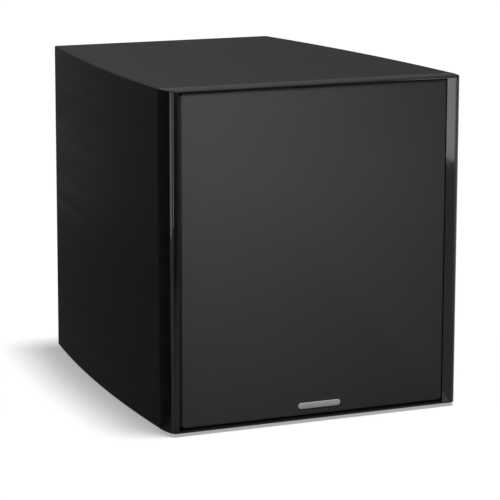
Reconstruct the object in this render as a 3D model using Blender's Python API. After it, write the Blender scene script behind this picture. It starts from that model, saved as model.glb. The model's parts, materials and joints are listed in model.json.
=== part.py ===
"""Powered 12-inch subwoofer: curved-side cabinet, cloth grille, long-throw driver, rear plate amplifier.

Metres, +Z up, the front faces -Y and the origin is on the floor, under the middle of the bounding box.
Parts are placed in the cabinet's own frame, an empty: x to the right seen from the front, y is the depth
behind the cabinet's front plane, and z is the height above the cabinet's underside.
"""

import math

import bmesh
import bpy
from mathutils import Matrix, Vector

# Cabinet
BODY_WIDTH = 0.400
BODY_HEIGHT = 0.420
BODY_DEPTH = 0.505
BACK_WIDTH = 0.320
SIDE_WALL = 0.020
END_PANEL = 0.022
FOOT_HEIGHT = 0.004
BRACE_THICKNESS = 0.018
BRACE_DEPTH = 0.290

# Clearance between neighbours, and how far a cutter runs past the face it opens
GAP = 0.0003
BEYOND = 0.01

# Edges steeper than this stay sharp on a round piece
SHARP_ANGLE = math.radians(35)

# Front bezel: two rounded pillars joined by a thin lip above and below the grille
BEZEL_DEPTH = 0.034
PILLAR_SWEEP = 0.0100
PILLAR_FLAT = 0.0030
BEVEL_WIDTH = 0.0065
BEVEL_DEPTH = 0.009
OPENING_HALF = BODY_WIDTH / 2 - PILLAR_SWEEP - PILLAR_FLAT - BEVEL_WIDTH
LIP = 0.0025

# Baffle and grille
BAFFLE_THICKNESS = 0.025
BAFFLE_FRONT = BEZEL_DEPTH + GAP
BAFFLE_BACK = BAFFLE_FRONT + BAFFLE_THICKNESS
GRILLE_FRONT = 0.0087
GRILLE_SIDE_GAP = 0.0011
GRILLE_END_GAP = 0.0007
GRILLE_BACK_GAP = 0.0015
GRILLE_HALF_WIDTH = OPENING_HALF - GRILLE_SIDE_GAP
GRILLE_END = LIP + GRILLE_END_GAP
GRILLE_BACK = BAFFLE_FRONT - GRILLE_BACK_GAP
CLOTH = 0.0008
SOCKET_RADIUS = 0.0082
SOCKET_LENGTH = 0.013
PEG_RADIUS = 0.004
PEG_LENGTH = 0.0125
PEG_X = 0.164
PEG_FROM_END = 0.040
BADGE_SIZE = (0.058, 0.0010, 0.008)
BADGE_AT = (0.006, 0.0155)

# Driver; a depth here is counted back from the front face of the basket's flange
FLANGE_RECESS = 0.006
FLANGE_DEPTH = BAFFLE_FRONT + FLANGE_RECESS
DRIVER_HEIGHT = BODY_HEIGHT / 2
DRIVER_SEGMENTS = 24
FLANGE_RADIUS = 0.155
FLANGE_THICKNESS = 0.006
GASKET_THICKNESS = 0.0015
BASKET_HOLE_RADIUS = 0.1425
DRIVER_SCREWS = 6
SCREW_CIRCLE = 0.148
SCREW_HOLE = 0.0030
ROLL_CENTRE = 0.1225
ROLL_RADIUS = 0.011
RUBBER = 0.0012
CONE_EDGE = 0.105
CONE_DEPTH = 0.042
CONE_FLARE = 1.25
CONE_NECK = 0.0268
SPIDER_DEPTH = 0.0509
TOP_PLATE_FRONT = 0.0783
TOP_PLATE_BACK = 0.0883
MAGNET_BACK = 0.1206
YOKE_BACK = 0.1309
TERMINAL_RADIUS = 0.104
POLE_RADIUS = 0.0247
GAP_RADIUS = 0.0277
STEEL_RADIUS = 0.072

# Amplifier plate on the back
PLATE_HALF_WIDTH = 0.117
PLATE_LOW = 0.062
PLATE_HIGH = 0.358
PLATE_THICKNESS = 0.003
AMP_GASKET_THICKNESS = 0.001
OPENING_HALF_WIDTH = 0.106
OPENING_LOW = 0.074
OPENING_HIGH = 0.346
PLATE_INSIDE = BODY_DEPTH + 2 * GAP + AMP_GASKET_THICKNESS
PLATE_FACE = PLATE_INSIDE + PLATE_THICKNESS
PLATE_SCREW_X = 0.1112
PLATE_SCREW_HOLE = 0.0023
PLATE_CORNER = 0.004
SHAFT_HOLE = 0.0035
JACK_HOLE = 0.0050
LED_RADIUS = 0.0024
LED_HOLE = 0.0028
PLATE_SCREW_HEIGHTS = (0.072, 0.210, 0.348)
FIN_HEIGHT = 0.022
SINK_HALF_WIDTH = 0.080
SINK_LOW = 0.262
SINK_HIGH = 0.346
KNOB_HEIGHT = 0.226
KNOB_X = {"level_knob": 0.062, "crossover_knob": 0.0, "phase_knob": -0.062}
KNOB_RADIUS = 0.0095
KNOB_LENGTH = 0.015
SHAFT_RADIUS = 0.003
LED_X = 0.095
MODE_AT = (0.062, 0.178)
JACKS_AT = (-0.030, 0.178)
JACK_PITCH = (0.020, 0.018)
ROCKER_AT = (0.070, 0.108)
ROCKER_TILT = math.radians(8)
INLET_AT = (-0.066, 0.108)
INLET_BODY = (0.0285, 0.031)
TRANSFORMER_AT = (0.0, 0.1165)
CONNECTOR_AT = (0.070, 0.270)
BOARD = 0.0016
SEAT = 0.0008
POWER_BOARD_STANDOFF = 0.026
CONTROL_BOARD_STANDOFF = 0.0150

REAR_MOST = PLATE_FACE + GAP + FIN_HEIGHT
MIDDLE_DEPTH = REAR_MOST / 2


# ---------------------------------------------------------------- materials


def material(name, colour, roughness, metallic=0.0):
    made = bpy.data.materials.new(name)
    made.use_nodes = True
    shader = made.node_tree.nodes["Principled BSDF"]
    shader.inputs["Base Color"].default_value = (*colour, 1.0)
    shader.inputs["Roughness"].default_value = roughness
    shader.inputs["Metallic"].default_value = metallic
    made.diffuse_color = (*colour, 1.0)
    return made


def make_materials():
    return {
        "black_veneer": material("black_veneer", (0.018, 0.017, 0.016), 0.30),
        "gloss_black": material("gloss_black", (0.010, 0.010, 0.011), 0.08),
        "raw_board": material("raw_board", (0.28, 0.19, 0.11), 0.85),
        "black_board": material("black_board", (0.020, 0.020, 0.020), 0.60),
        "grille_cloth": material("grille_cloth", (0.050, 0.050, 0.050), 0.95),
        "black_plastic": material("black_plastic", (0.020, 0.020, 0.021), 0.45),
        "rubber": material("rubber", (0.022, 0.022, 0.022), 0.75),
        "foam": material("foam", (0.035, 0.035, 0.035), 0.95),
        "cast_aluminium": material("cast_aluminium", (0.060, 0.060, 0.063), 0.50, 0.6),
        "cone_paper": material("cone_paper", (0.030, 0.030, 0.030), 0.70),
        "spider_cloth": material("spider_cloth", (0.55, 0.42, 0.18), 0.90),
        "copper": material("copper", (0.70, 0.33, 0.18), 0.35, 1.0),
        "ferrite": material("ferrite", (0.050, 0.048, 0.046), 0.60),
        "zinc_steel": material("zinc_steel", (0.55, 0.56, 0.58), 0.35, 1.0),
        "black_steel": material("black_steel", (0.030, 0.030, 0.030), 0.40, 0.8),
        "anodised_plate": material("anodised_plate", (0.025, 0.025, 0.027), 0.40, 0.7),
        "badge_metal": material("badge_metal", (0.60, 0.60, 0.61), 0.30, 1.0),
        "circuit_board": material("circuit_board", (0.020, 0.120, 0.050), 0.50),
        "winding_wrap": material("winding_wrap", (0.650, 0.520, 0.080), 0.40),
        "cable_jacket": material("cable_jacket", (0.030, 0.030, 0.030), 0.50),
    }


# ---------------------------------------------------------------- shapes


def add_box(bm, size, centre):
    """Adds a box of that size about its centre."""
    scale = Matrix.Diagonal((*size, 1.0))
    bmesh.ops.create_cube(bm, size=1.0, matrix=Matrix.Translation(centre) @ scale)
    return bm


def add_span(bm, low, high):
    """Adds the box between two corners."""
    low, high = Vector(low), Vector(high)
    return add_box(bm, high - low, (low + high) / 2)


def add_cylinder(bm, radius, x, z, y_range, segments=12):
    """Adds a cylinder along the depth axis, through (x, z), between two depths."""
    front, back = y_range
    turn = Matrix.Rotation(-math.pi / 2, 4, "X")
    place = Matrix.Translation((x, (front + back) / 2, z)) @ turn
    bmesh.ops.create_cone(
        bm, cap_ends=True, segments=segments, radius1=radius, radius2=radius, depth=back - front, matrix=place
    )
    return bm


def add_prism(bm, outline, low, high, axis):
    """Adds an outline of (u, v) points pushed along axis: (x, y) along Z, (x, z) along Y, (y, z) along X."""
    third = {"X": 0, "Y": 1, "Z": 2}[axis]

    def place(u, v, w):
        point = [u, v]
        point.insert(third, w)
        return point

    face = bm.faces.new([bm.verts.new(place(u, v, low)) for u, v in outline])
    pushed = bmesh.ops.extrude_face_region(bm, geom=[face])
    moved = [item for item in pushed["geom"] if isinstance(item, bmesh.types.BMVert)]
    step = [0.0, 0.0, 0.0]
    step[third] = high - low
    bmesh.ops.translate(bm, verts=moved, vec=step)
    bmesh.ops.recalc_face_normals(bm, faces=bm.faces)
    return bm


def add_lathe(bm, profile, segments, x=0.0, z=0.0):
    """Adds a turned shape: a profile of (radius, depth) points spun about the depth axis through (x, z).

    A profile that starts and ends at radius 0 makes a solid, and any other is closed into a ring.
    """
    points = [bm.verts.new((x + radius, depth, z)) for radius, depth in profile]
    edges = [bm.edges.new(pair) for pair in zip(points, points[1:])]
    if profile[0][0] > 0:
        edges.append(bm.edges.new((points[-1], points[0])))
    bmesh.ops.spin(
        bm,
        geom=points + edges,
        cent=(x, 0, z),
        axis=(0, 1, 0),
        angle=2 * math.pi,
        steps=segments,
        use_merge=True,
    )
    bmesh.ops.remove_doubles(bm, verts=bm.verts, dist=1e-7)
    bmesh.ops.dissolve_degenerate(bm, edges=bm.edges, dist=1e-7)
    bmesh.ops.recalc_face_normals(bm, faces=bm.faces)
    return bm


def rounded_rectangle(half_width, half_height, radius, steps=4, centre=(0.0, 0.0)):
    """Outline of a rectangle with rounded corners, anticlockwise."""
    points = []
    for quarter in range(4):
        start = quarter * math.pi / 2
        middle = start + math.pi / 4
        cx = centre[0] + math.copysign(half_width - radius, math.cos(middle))
        cz = centre[1] + math.copysign(half_height - radius, math.sin(middle))
        for step in range(steps + 1):
            angle = start + step / steps * math.pi / 2
            points.append((cx + radius * math.cos(angle), cz + radius * math.sin(angle)))
    return points


def arc(centre, radius, start, end, steps):
    """Points on an arc between two angles in degrees, in the plane of a turned profile."""
    angles = [math.radians(start + (end - start) * i / steps) for i in range(steps + 1)]
    return [(centre[0] + radius * math.cos(a), centre[1] + radius * math.sin(a)) for a in angles]


def make_object(name, bm, finish, parent, location=(0, 0, 0), rotation=(0, 0, 0), smooth=False):
    """Turns a bmesh into an object; smooth shades it round, with its real edges kept sharp."""
    mesh = bpy.data.meshes.new(name)
    bm.to_mesh(mesh)
    bm.free()
    if smooth:
        mesh.shade_smooth()
        mesh.set_sharp_from_angle(angle=SHARP_ANGLE)
    made = bpy.data.objects.new(name, mesh)
    bpy.context.scene.collection.objects.link(made)
    if finish:
        mesh.materials.append(finish)
    made.parent = parent
    made.location = location
    made.rotation_euler = rotation
    return made


def make_copy(name, source, parent, location):
    """A copy of a repeated piece, which shares its mesh and its cuts."""
    made = source.copy()
    made.name = name
    bpy.context.scene.collection.objects.link(made)
    made.parent = parent
    made.location = location
    return made


def combine(target, bm, operation):
    """Cuts the shape in bm from target, or joins it on, with a hidden helper object."""
    name = f"{target.name}_{operation.lower()}_{len(target.modifiers) + 1}"
    helper = make_object(name, bm, None, target.parent, target.location)
    helper.hide_render = True
    helper.display_type = "WIRE"
    modifier = target.modifiers.new(operation.title(), "BOOLEAN")
    modifier.operation = operation
    modifier.solver = "EXACT"
    modifier.object = helper
    return target


def cut(target, bm):
    return combine(target, bm, "DIFFERENCE")


def join(target, bm):
    return combine(target, bm, "UNION")


def make_empty(name, parent=None, location=(0, 0, 0)):
    made = bpy.data.objects.new(name, None)
    bpy.context.scene.collection.objects.link(made)
    made.parent = parent
    made.location = location
    return made


# ---------------------------------------------------------------- cabinet


def half_width(depth, inset=0.0):
    """Half the cabinet's width at a depth behind the bezel, on the side's arc or on one inset from it."""
    length = BODY_DEPTH - BEZEL_DEPTH
    sagitta = (BODY_WIDTH - BACK_WIDTH) / 2
    radius = (length**2 + sagitta**2) / (2 * sagitta)
    return BODY_WIDTH / 2 - radius + math.sqrt((radius - inset) ** 2 - (depth - BEZEL_DEPTH) ** 2)


def side_curve(inset, steps=14):
    """Points (x, y) down the right side, from just behind the bezel to the back."""
    front = BEZEL_DEPTH + GAP
    depths = [front + (BODY_DEPTH - front) * i / steps for i in range(steps + 1)]
    return [(half_width(depth, inset), depth) for depth in depths]


def pillar_curve(steps=10):
    """Points (x, y) round the right pillar, a quarter ellipse from its front edge to the side."""
    centre_x = BODY_WIDTH / 2 - PILLAR_SWEEP
    angles = [math.pi / 2 * i / steps for i in range(steps + 1)]
    return [(centre_x + PILLAR_SWEEP * math.sin(a), BEZEL_DEPTH * (1 - math.cos(a))) for a in angles]


def mirrored(right):
    """Closes a right-hand run of points (x, y) with its mirror image on the left."""
    return right + [(-x, y) for x, y in reversed(right)]


def build_front_bezel(finish, parent):
    """Gloss frame in front of the cabinet, with bevels that lead in to the grille."""
    bm = add_prism(bmesh.new(), mirrored(pillar_curve()), 0.0, BODY_HEIGHT, "Z")
    bezel = make_object("front_bezel", bm, finish, parent, smooth=True)
    slope = BEVEL_WIDTH / BEVEL_DEPTH
    mouth = OPENING_HALF + BEVEL_WIDTH + slope * BEYOND
    right = [(mouth, -BEYOND), (OPENING_HALF, BEVEL_DEPTH), (OPENING_HALF, BEZEL_DEPTH + BEYOND)]
    return cut(bezel, add_prism(bmesh.new(), mirrored(right), LIP, BODY_HEIGHT - LIP, "Z"))


def build_end_panel(name, low, finish, parent):
    """Top or bottom panel, with the whole plan shape behind the bezel."""
    bm = add_prism(bmesh.new(), mirrored(side_curve(0.0)), low, low + END_PANEL, "Z")
    return make_object(name, bm, finish, parent)


def build_side_panel(name, side, finish, parent):
    """Curved side; side is 1 on the right and -1 on the left."""
    outline = [(side * x, y) for x, y in side_curve(0.0) + list(reversed(side_curve(SIDE_WALL)))]
    bm = add_prism(bmesh.new(), outline, END_PANEL + GAP, BODY_HEIGHT - END_PANEL - GAP, "Z")
    return make_object(name, bm, finish, parent)


def build_rear_panel(finish, parent):
    """Back of the cabinet, with a window for the amplifier and pilot holes for its screws."""
    front, pilot_length = BODY_DEPTH - SIDE_WALL, 0.015
    corners = [(half_width(depth, SIDE_WALL) - GAP, depth) for depth in (front, BODY_DEPTH)]
    bm = add_prism(bmesh.new(), mirrored(corners), END_PANEL + GAP, BODY_HEIGHT - END_PANEL - GAP, "Z")
    panel = make_object("rear_panel", bm, finish, parent)
    holes = add_span(
        bmesh.new(),
        (-OPENING_HALF_WIDTH, front - BEYOND, OPENING_LOW),
        (OPENING_HALF_WIDTH, BODY_DEPTH + BEYOND, OPENING_HIGH),
    )
    for x, z in plate_screw_places():
        add_cylinder(holes, PLATE_SCREW_HOLE, x, z, (BODY_DEPTH - pilot_length, BODY_DEPTH + BEYOND), 8)
    return cut(panel, holes)


def build_window_brace(finish, parent):
    """Frame glued inside at mid depth to stiffen the side walls."""
    half = half_width(BRACE_DEPTH + BRACE_THICKNESS, SIDE_WALL) - GAP
    low, high = END_PANEL + GAP, BODY_HEIGHT - END_PANEL - GAP
    depths = (BRACE_DEPTH, BRACE_DEPTH + BRACE_THICKNESS)
    outline = [(-half, low), (half, low), (half, high), (-half, high)]
    brace = make_object("window_brace", add_prism(bmesh.new(), outline, *depths, "Y"), finish, parent)
    wide, tall, corner = 0.105, 0.130, 0.030
    window = rounded_rectangle(wide, tall, corner, centre=(0.0, BODY_HEIGHT / 2))
    return cut(brace, add_prism(bmesh.new(), window, depths[0] - BEYOND, depths[1] + BEYOND, "Y"))


def foot_places():
    return {
        "foot_front_left": (-0.150, 0.060),
        "foot_front_right": (0.150, 0.060),
        "foot_rear_left": (-0.125, 0.445),
        "foot_rear_right": (0.125, 0.445),
    }


def build_feet(bottom_panel, finish, parent):
    """Low rubber feet, each with a stem pushed into a blind hole in the bottom panel."""
    sole, tread, tread_height, foot_radius = 0.0165, 0.0185, 0.001, 0.020
    stem_radius, stem_length = 0.004, 0.014
    seat, stem_top = FOOT_HEIGHT - GAP, FOOT_HEIGHT + stem_length
    profile = [(0, 0), (sole, 0), (tread, tread_height), (foot_radius, seat), (stem_radius, seat)]
    profile += [(stem_radius, stem_top), (0, stem_top)]
    upright = (math.pi / 2, 0, 0)
    first = None
    for name, (x, y) in foot_places().items():
        place = (x, y, -FOOT_HEIGHT)
        if first is None:
            bm = add_lathe(bmesh.new(), profile, 16)
            first = make_object(name, bm, finish, parent, place, upright, smooth=True)
        else:
            make_copy(name, first, parent, place)
    holes = bmesh.new()
    hole_radius, hole_clear = 0.0045, 0.0015
    hole_depth = stem_length + hole_clear
    for x, y in foot_places().values():
        bmesh.ops.create_cone(
            holes,
            cap_ends=True,
            segments=12,
            radius1=hole_radius,
            radius2=hole_radius,
            depth=2 * hole_depth,
            matrix=Matrix.Translation((x, y, 0)),
        )
    return cut(bottom_panel, holes)


def build_cabinet(finishes, parent):
    wood, board = finishes["black_veneer"], finishes["raw_board"]
    build_front_bezel(finishes["gloss_black"], parent)
    build_end_panel("top_panel", BODY_HEIGHT - END_PANEL, wood, parent)
    bottom = build_end_panel("bottom_panel", 0.0, wood, parent)
    build_side_panel("left_side_panel", -1, wood, parent)
    build_side_panel("right_side_panel", 1, wood, parent)
    build_rear_panel(finishes["black_board"], parent)
    build_window_brace(board, parent)
    build_baffle(finishes["black_board"], parent)
    build_feet(bottom, finishes["rubber"], parent)


# ---------------------------------------------------------------- baffle and grille


def peg_places():
    low, high = PEG_FROM_END, BODY_HEIGHT - PEG_FROM_END
    return {
        "top_left": (-PEG_X, high),
        "top_right": (PEG_X, high),
        "bottom_left": (-PEG_X, low),
        "bottom_right": (PEG_X, low),
    }


def driver_screw_places():
    """(x, z) of the screws about the driver's axis."""
    angles = [math.radians(30 + 360 * i / DRIVER_SCREWS) for i in range(DRIVER_SCREWS)]
    return [(SCREW_CIRCLE * math.cos(a), SCREW_CIRCLE * math.sin(a)) for a in angles]


def build_baffle(finish, parent):
    """Board behind the grille, rebated for the driver and bored for its screws and the grille's sleeves."""
    end = END_PANEL + GAP
    half = half_width(BAFFLE_BACK, SIDE_WALL) - GAP
    bm = add_span(bmesh.new(), (-half, BAFFLE_FRONT, end), (half, BAFFLE_BACK, BODY_HEIGHT - end))
    baffle = make_object("front_baffle", bm, finish, parent)
    rebate_clear, socket_clear, pilot_root = 0.0015, 0.0006, 0.002
    rebate_radius = FLANGE_RADIUS + rebate_clear
    rebate_floor = FLANGE_DEPTH + FLANGE_THICKNESS + GASKET_THICKNESS + 2 * GAP
    before, behind = BAFFLE_FRONT - BEYOND, BAFFLE_BACK + BEYOND
    profile = [(0, before), (rebate_radius, before), (rebate_radius, rebate_floor)]
    profile += [(BASKET_HOLE_RADIUS, rebate_floor), (BASKET_HOLE_RADIUS, behind), (0, behind)]
    cut(baffle, add_lathe(bmesh.new(), profile, DRIVER_SEGMENTS, 0.0, DRIVER_HEIGHT))
    holes = bmesh.new()
    socket_hole, socket_floor = SOCKET_RADIUS + socket_clear, BAFFLE_FRONT + SOCKET_LENGTH + rebate_clear
    for x, z in driver_screw_places():
        add_cylinder(holes, SCREW_HOLE, x, DRIVER_HEIGHT + z, (rebate_floor - pilot_root, behind), 8)
    for x, z in peg_places().values():
        add_cylinder(holes, socket_hole, x, z, (before, socket_floor))
    return cut(baffle, holes)


def build_grille_sockets(finish, parent):
    """Rubber sleeves in the baffle that grip the grille's pegs."""
    grip, flange, flange_thickness = 0.00035, 0.0105, 0.0009
    bore, face = PEG_RADIUS + grip, BAFFLE_FRONT - GAP
    front = face - flange_thickness
    end = face + SOCKET_LENGTH
    profile = [(bore, front), (flange, front), (flange, face)]
    profile += [(SOCKET_RADIUS, face), (SOCKET_RADIUS, end), (bore, end)]
    first = None
    for corner, (x, z) in peg_places().items():
        name = f"grille_socket_{corner}"
        if first is None:
            bm = add_lathe(bmesh.new(), profile, 12)
            first = make_object(name, bm, finish, parent, (x, 0, z), smooth=True)
        else:
            make_copy(name, first, parent, (x, 0, z))


def build_grille(finishes, parent):
    """Frame with four pegs, the cloth stretched over it, and a plain badge."""
    inset = CLOTH + GAP
    frame_half = GRILLE_HALF_WIDTH - inset
    frame_front = GRILLE_FRONT + inset
    frame_low, frame_high = GRILLE_END + inset, BODY_HEIGHT - GRILLE_END - inset
    middle = (0.0, BODY_HEIGHT / 2)
    frame_tall = (frame_high - frame_low) / 2
    rim, frame_corner, window_corner, peg_root = 0.015, 0.003, 0.050, 0.002

    outline = rounded_rectangle(frame_half, frame_tall, frame_corner, 3, middle)
    frame = make_object(
        "grille_frame",
        add_prism(bmesh.new(), outline, frame_front, GRILLE_BACK, "Y"),
        finishes["black_plastic"],
        parent,
    )
    opening = rounded_rectangle(frame_half - rim, frame_tall - rim, window_corner, 4, middle)
    cut(frame, add_prism(bmesh.new(), opening, frame_front - BEYOND, GRILLE_BACK + BEYOND, "Y"))
    pegs = bmesh.new()
    for x, z in peg_places().values():
        add_cylinder(pegs, PEG_RADIUS, x, z, (GRILLE_BACK - peg_root, GRILLE_BACK + PEG_LENGTH))
    join(frame, pegs)

    cloth_tall, cloth_corner = BODY_HEIGHT / 2 - GRILLE_END, 0.004
    outline = rounded_rectangle(GRILLE_HALF_WIDTH, cloth_tall, cloth_corner, 3, middle)
    cloth = make_object(
        "grille_cloth",
        add_prism(bmesh.new(), outline, GRILLE_FRONT, GRILLE_BACK, "Y"),
        finishes["grille_cloth"],
        parent,
    )
    inside = rounded_rectangle(GRILLE_HALF_WIDTH - CLOTH, cloth_tall - CLOTH, cloth_corner - CLOTH, 3, middle)
    cut(cloth, add_prism(bmesh.new(), inside, GRILLE_FRONT + CLOTH, GRILLE_BACK + BEYOND, "Y"))

    width, thickness, height = BADGE_SIZE
    corner = 0.95 * height / 2
    outline = rounded_rectangle(width / 2, height / 2, corner, 6, BADGE_AT)
    back = GRILLE_FRONT - GAP
    badge = add_prism(bmesh.new(), outline, back - thickness, back, "Y")
    make_object("grille_badge", badge, finishes["badge_metal"], parent)


# ---------------------------------------------------------------- driver


def add_sector(bm, radii, depths, middle, width, steps=3):
    """Adds a block between two radii, two depths and two angles about the driver's axis."""
    inner, outer = radii
    angles = [middle + width * (i / steps - 0.5) for i in range(steps + 1)]
    outline = [(outer * math.cos(a), outer * math.sin(a)) for a in angles]
    outline += [(inner * math.cos(a), inner * math.sin(a)) for a in reversed(angles)]
    return add_prism(bm, outline, *depths, "Y")


def build_basket(finish, parent):
    """Cast basket: flange, six spokes, the shelf for the spider and the seat for the magnet."""
    throat, throat_depth, rim, rim_depth = 0.134, 0.008, 0.1405, 0.014
    shelf, shelf_edge, shelf_depth = 0.081, 0.088, 0.052
    waist, waist_depth, seat, seat_front, seat_back, seat_hole = 0.093, 0.060, 0.086, 0.072, 0.078, 0.034
    profile = [(FLANGE_RADIUS, 0), (FLANGE_RADIUS, FLANGE_THICKNESS), (rim, FLANGE_THICKNESS)]
    profile += [(rim, rim_depth), (waist, waist_depth), (seat, seat_back), (seat_hole, seat_back)]
    profile += [(seat_hole, seat_front), (shelf, seat_front), (shelf, shelf_depth)]
    profile += [(shelf_edge, shelf_depth), (throat, throat_depth), (throat, 0)]
    bm = add_lathe(bmesh.new(), profile, DRIVER_SEGMENTS)
    basket = make_object("driver_basket", bm, finish, parent, smooth=True)
    terminal_size, terminal_depth = (0.022, 0.016, 0.014), 0.054
    join(basket, add_box(bmesh.new(), terminal_size, (0.0, terminal_depth, -TERMINAL_RADIUS)))
    window_radii, window_depths, window_angle = (0.096, 0.130), (0.013, 0.075), math.radians(36)
    holes = bmesh.new()
    for i in range(DRIVER_SCREWS):
        add_sector(holes, window_radii, window_depths, 2 * math.pi * i / DRIVER_SCREWS, window_angle)
    for x, z in driver_screw_places():
        add_cylinder(holes, SCREW_HOLE, x, z, (-BEYOND, window_depths[0] + 0.007))
    return cut(basket, holes)


def build_driver_gasket(finish, parent):
    """Foam ring between the flange and the baffle's rebate."""
    front = FLANGE_THICKNESS + GAP
    back = front + GASKET_THICKNESS
    inner, clear = BASKET_HOLE_RADIUS + 0.0005, 0.004
    profile = [(inner, front), (FLANGE_RADIUS, front), (FLANGE_RADIUS, back), (inner, back)]
    bm = add_lathe(bmesh.new(), profile, DRIVER_SEGMENTS)
    gasket = make_object("driver_gasket", bm, finish, parent, smooth=True)
    holes = bmesh.new()
    for x, z in driver_screw_places():
        add_cylinder(holes, SCREW_HOLE, x, z, (front - clear, back + clear), 8)
    return cut(gasket, holes)


def build_surround(finish, parent):
    """Half-roll rubber edge with a flat landing on the flange and another on the cone."""
    seat = -GAP
    middle = seat - RUBBER / 2
    centre = (ROLL_CENTRE, middle)
    inner, outer = 0.1060, 0.1410
    outside = arc(centre, ROLL_RADIUS + RUBBER / 2, 0, -180, 6)
    inside = arc(centre, ROLL_RADIUS - RUBBER / 2, -180, 0, 6)
    profile = [(outer, seat), (outer, seat - RUBBER)] + outside
    profile += [(inner, seat - RUBBER), (inner, seat)] + inside
    make_object("surround", add_lathe(bmesh.new(), profile, DRIVER_SEGMENTS), finish, parent, smooth=True)


def build_trim_ring(finish, parent):
    """Rubber ring that covers the surround's outer landing."""
    seat = -GAP - RUBBER - GAP
    inner, outer, height, chamfer, wall = 0.1348, 0.1425, 0.0027, 0.0015, 0.00162
    profile = [(inner, seat), (inner, seat - wall), (inner + chamfer, seat - height)]
    profile += [(outer - chamfer, seat - height), (outer, seat - wall), (outer, seat)]
    bm = add_lathe(bmesh.new(), profile, DRIVER_SEGMENTS)
    make_object("driver_trim_ring", bm, finish, parent, smooth=True)


def cone_front(share):
    """(radius, depth) on the cone's front face, from its edge at share 0 to its neck at share 1."""
    radius = CONE_EDGE + (CONE_NECK - CONE_EDGE) * share
    return radius, CONE_DEPTH * (1 - (1 - share) ** CONE_FLARE)


def build_cone(finishes, parent):
    """Paper cone with a flat landing for the surround, and the domed cap over its neck."""
    thickness, landing, steps = 0.0018, 0.112, 4
    front = [cone_front(i / steps) for i in range(steps + 1)]
    back = [(radius, depth + thickness) for radius, depth in reversed(front)]
    profile = [(landing, 0.0)] + front + back + [(landing, thickness)]
    bm = add_lathe(bmesh.new(), profile, DRIVER_SEGMENTS)
    make_object("cone", bm, finishes["cone_paper"], parent, smooth=True)

    cap_radius, cap_edge, cap_height, wall = 0.0490, 0.0316, 0.0150, 0.0012
    shares = [i / 4 for i in range(5)]
    dome = [(cap_radius * s, cap_edge - cap_height * (1 - s**2)) for s in shares]
    hollow = [(radius, depth + wall) for radius, depth in reversed(dome)]
    bm = add_lathe(bmesh.new(), dome + hollow, DRIVER_SEGMENTS)
    make_object("dust_cap", bm, finishes["cone_paper"], parent, smooth=True)


def build_voice_coil(finish, parent):
    """Former tube with its winding."""
    inner, tube, winding = 0.0255, 0.0264, 0.0269
    front, winding_front, back = 0.0400, 0.0660, 0.1040
    profile = [(inner, front), (tube, front), (tube, winding_front), (winding, winding_front)]
    profile += [(winding, back), (inner, back)]
    make_object("voice_coil", add_lathe(bmesh.new(), profile, DRIVER_SEGMENTS), finish, parent, smooth=True)


def build_spider(finish, parent):
    """Corrugated suspension between the coil former and the basket's shelf."""
    inner, outer, landing, cloth, wave, folds = 0.0268, 0.0875, 0.006, 0.0008, 0.0015, 7
    radii = [inner + (outer - landing - inner) * i / folds for i in range(folds + 1)]
    upper = [(radius, SPIDER_DEPTH + wave * (-1) ** i) for i, radius in enumerate(radii)]
    upper.append((outer, SPIDER_DEPTH))
    lower = [(radius, depth + cloth) for radius, depth in reversed(upper)]
    make_object("spider", add_lathe(bmesh.new(), upper + lower, DRIVER_SEGMENTS), finish, parent, smooth=True)


def build_motor(finishes, parent):
    """Front plate, ferrite ring, and the back plate with its vented pole."""
    rings = {
        "magnet_front_plate": (GAP_RADIUS, STEEL_RADIUS, TOP_PLATE_FRONT, TOP_PLATE_BACK, "zinc_steel"),
        "magnet_ring": (0.036, 0.078, TOP_PLATE_BACK + GAP, MAGNET_BACK, "ferrite"),
    }
    for name, (inner, outer, front, back, finish) in rings.items():
        profile = [(inner, front), (outer, front), (outer, back), (inner, back)]
        bm = add_lathe(bmesh.new(), profile, DRIVER_SEGMENTS)
        make_object(name, bm, finishes[finish], parent, smooth=True)
    vent, plate_front = 0.008, MAGNET_BACK + GAP
    profile = [(vent, TOP_PLATE_FRONT), (POLE_RADIUS, TOP_PLATE_FRONT), (POLE_RADIUS, plate_front)]
    profile += [(STEEL_RADIUS, plate_front), (STEEL_RADIUS, YOKE_BACK), (vent, YOKE_BACK)]
    bm = add_lathe(bmesh.new(), profile, DRIVER_SEGMENTS)
    make_object("magnet_yoke", bm, finishes["zinc_steel"], parent, smooth=True)


def build_screws(stem, profile, places, finish, parent):
    """One turned screw at each (x, z) place."""
    first = None
    for i, (x, z) in enumerate(places):
        name = f"{stem}_{i + 1}"
        if first is None:
            bm = add_lathe(bmesh.new(), profile, 12)
            first = make_object(name, bm, finish, parent, (x, 0, z), smooth=True)
        else:
            make_copy(name, first, parent, (x, 0, z))


def build_driver_screws(finish, parent):
    """Socket-head screws through the flange into the baffle."""
    head, head_high, shank, tip, socket, socket_high = 0.0043, 0.005, 0.0025, 0.030, 0.0022, 0.0022
    under, top = -GAP, -GAP - head_high
    profile = [(0, under - socket_high), (socket, under - socket_high), (socket, top), (head, top)]
    profile += [(head, under), (shank, under), (shank, tip), (0, tip)]
    build_screws("driver_screw", profile, driver_screw_places(), finish, parent)


def build_driver(finishes, parent):
    axis = make_empty("driver_axis", parent, (0, FLANGE_DEPTH, DRIVER_HEIGHT))
    build_basket(finishes["cast_aluminium"], axis)
    build_driver_gasket(finishes["foam"], axis)
    build_surround(finishes["rubber"], axis)
    build_trim_ring(finishes["rubber"], axis)
    build_cone(finishes, axis)
    build_voice_coil(finishes["copper"], axis)
    build_spider(finishes["spider_cloth"], axis)
    build_motor(finishes, axis)
    build_driver_screws(finishes["black_steel"], axis)


# ---------------------------------------------------------------- amplifier


def plate_screw_places():
    return [(side * PLATE_SCREW_X, height) for side in (1, -1) for height in PLATE_SCREW_HEIGHTS]


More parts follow.
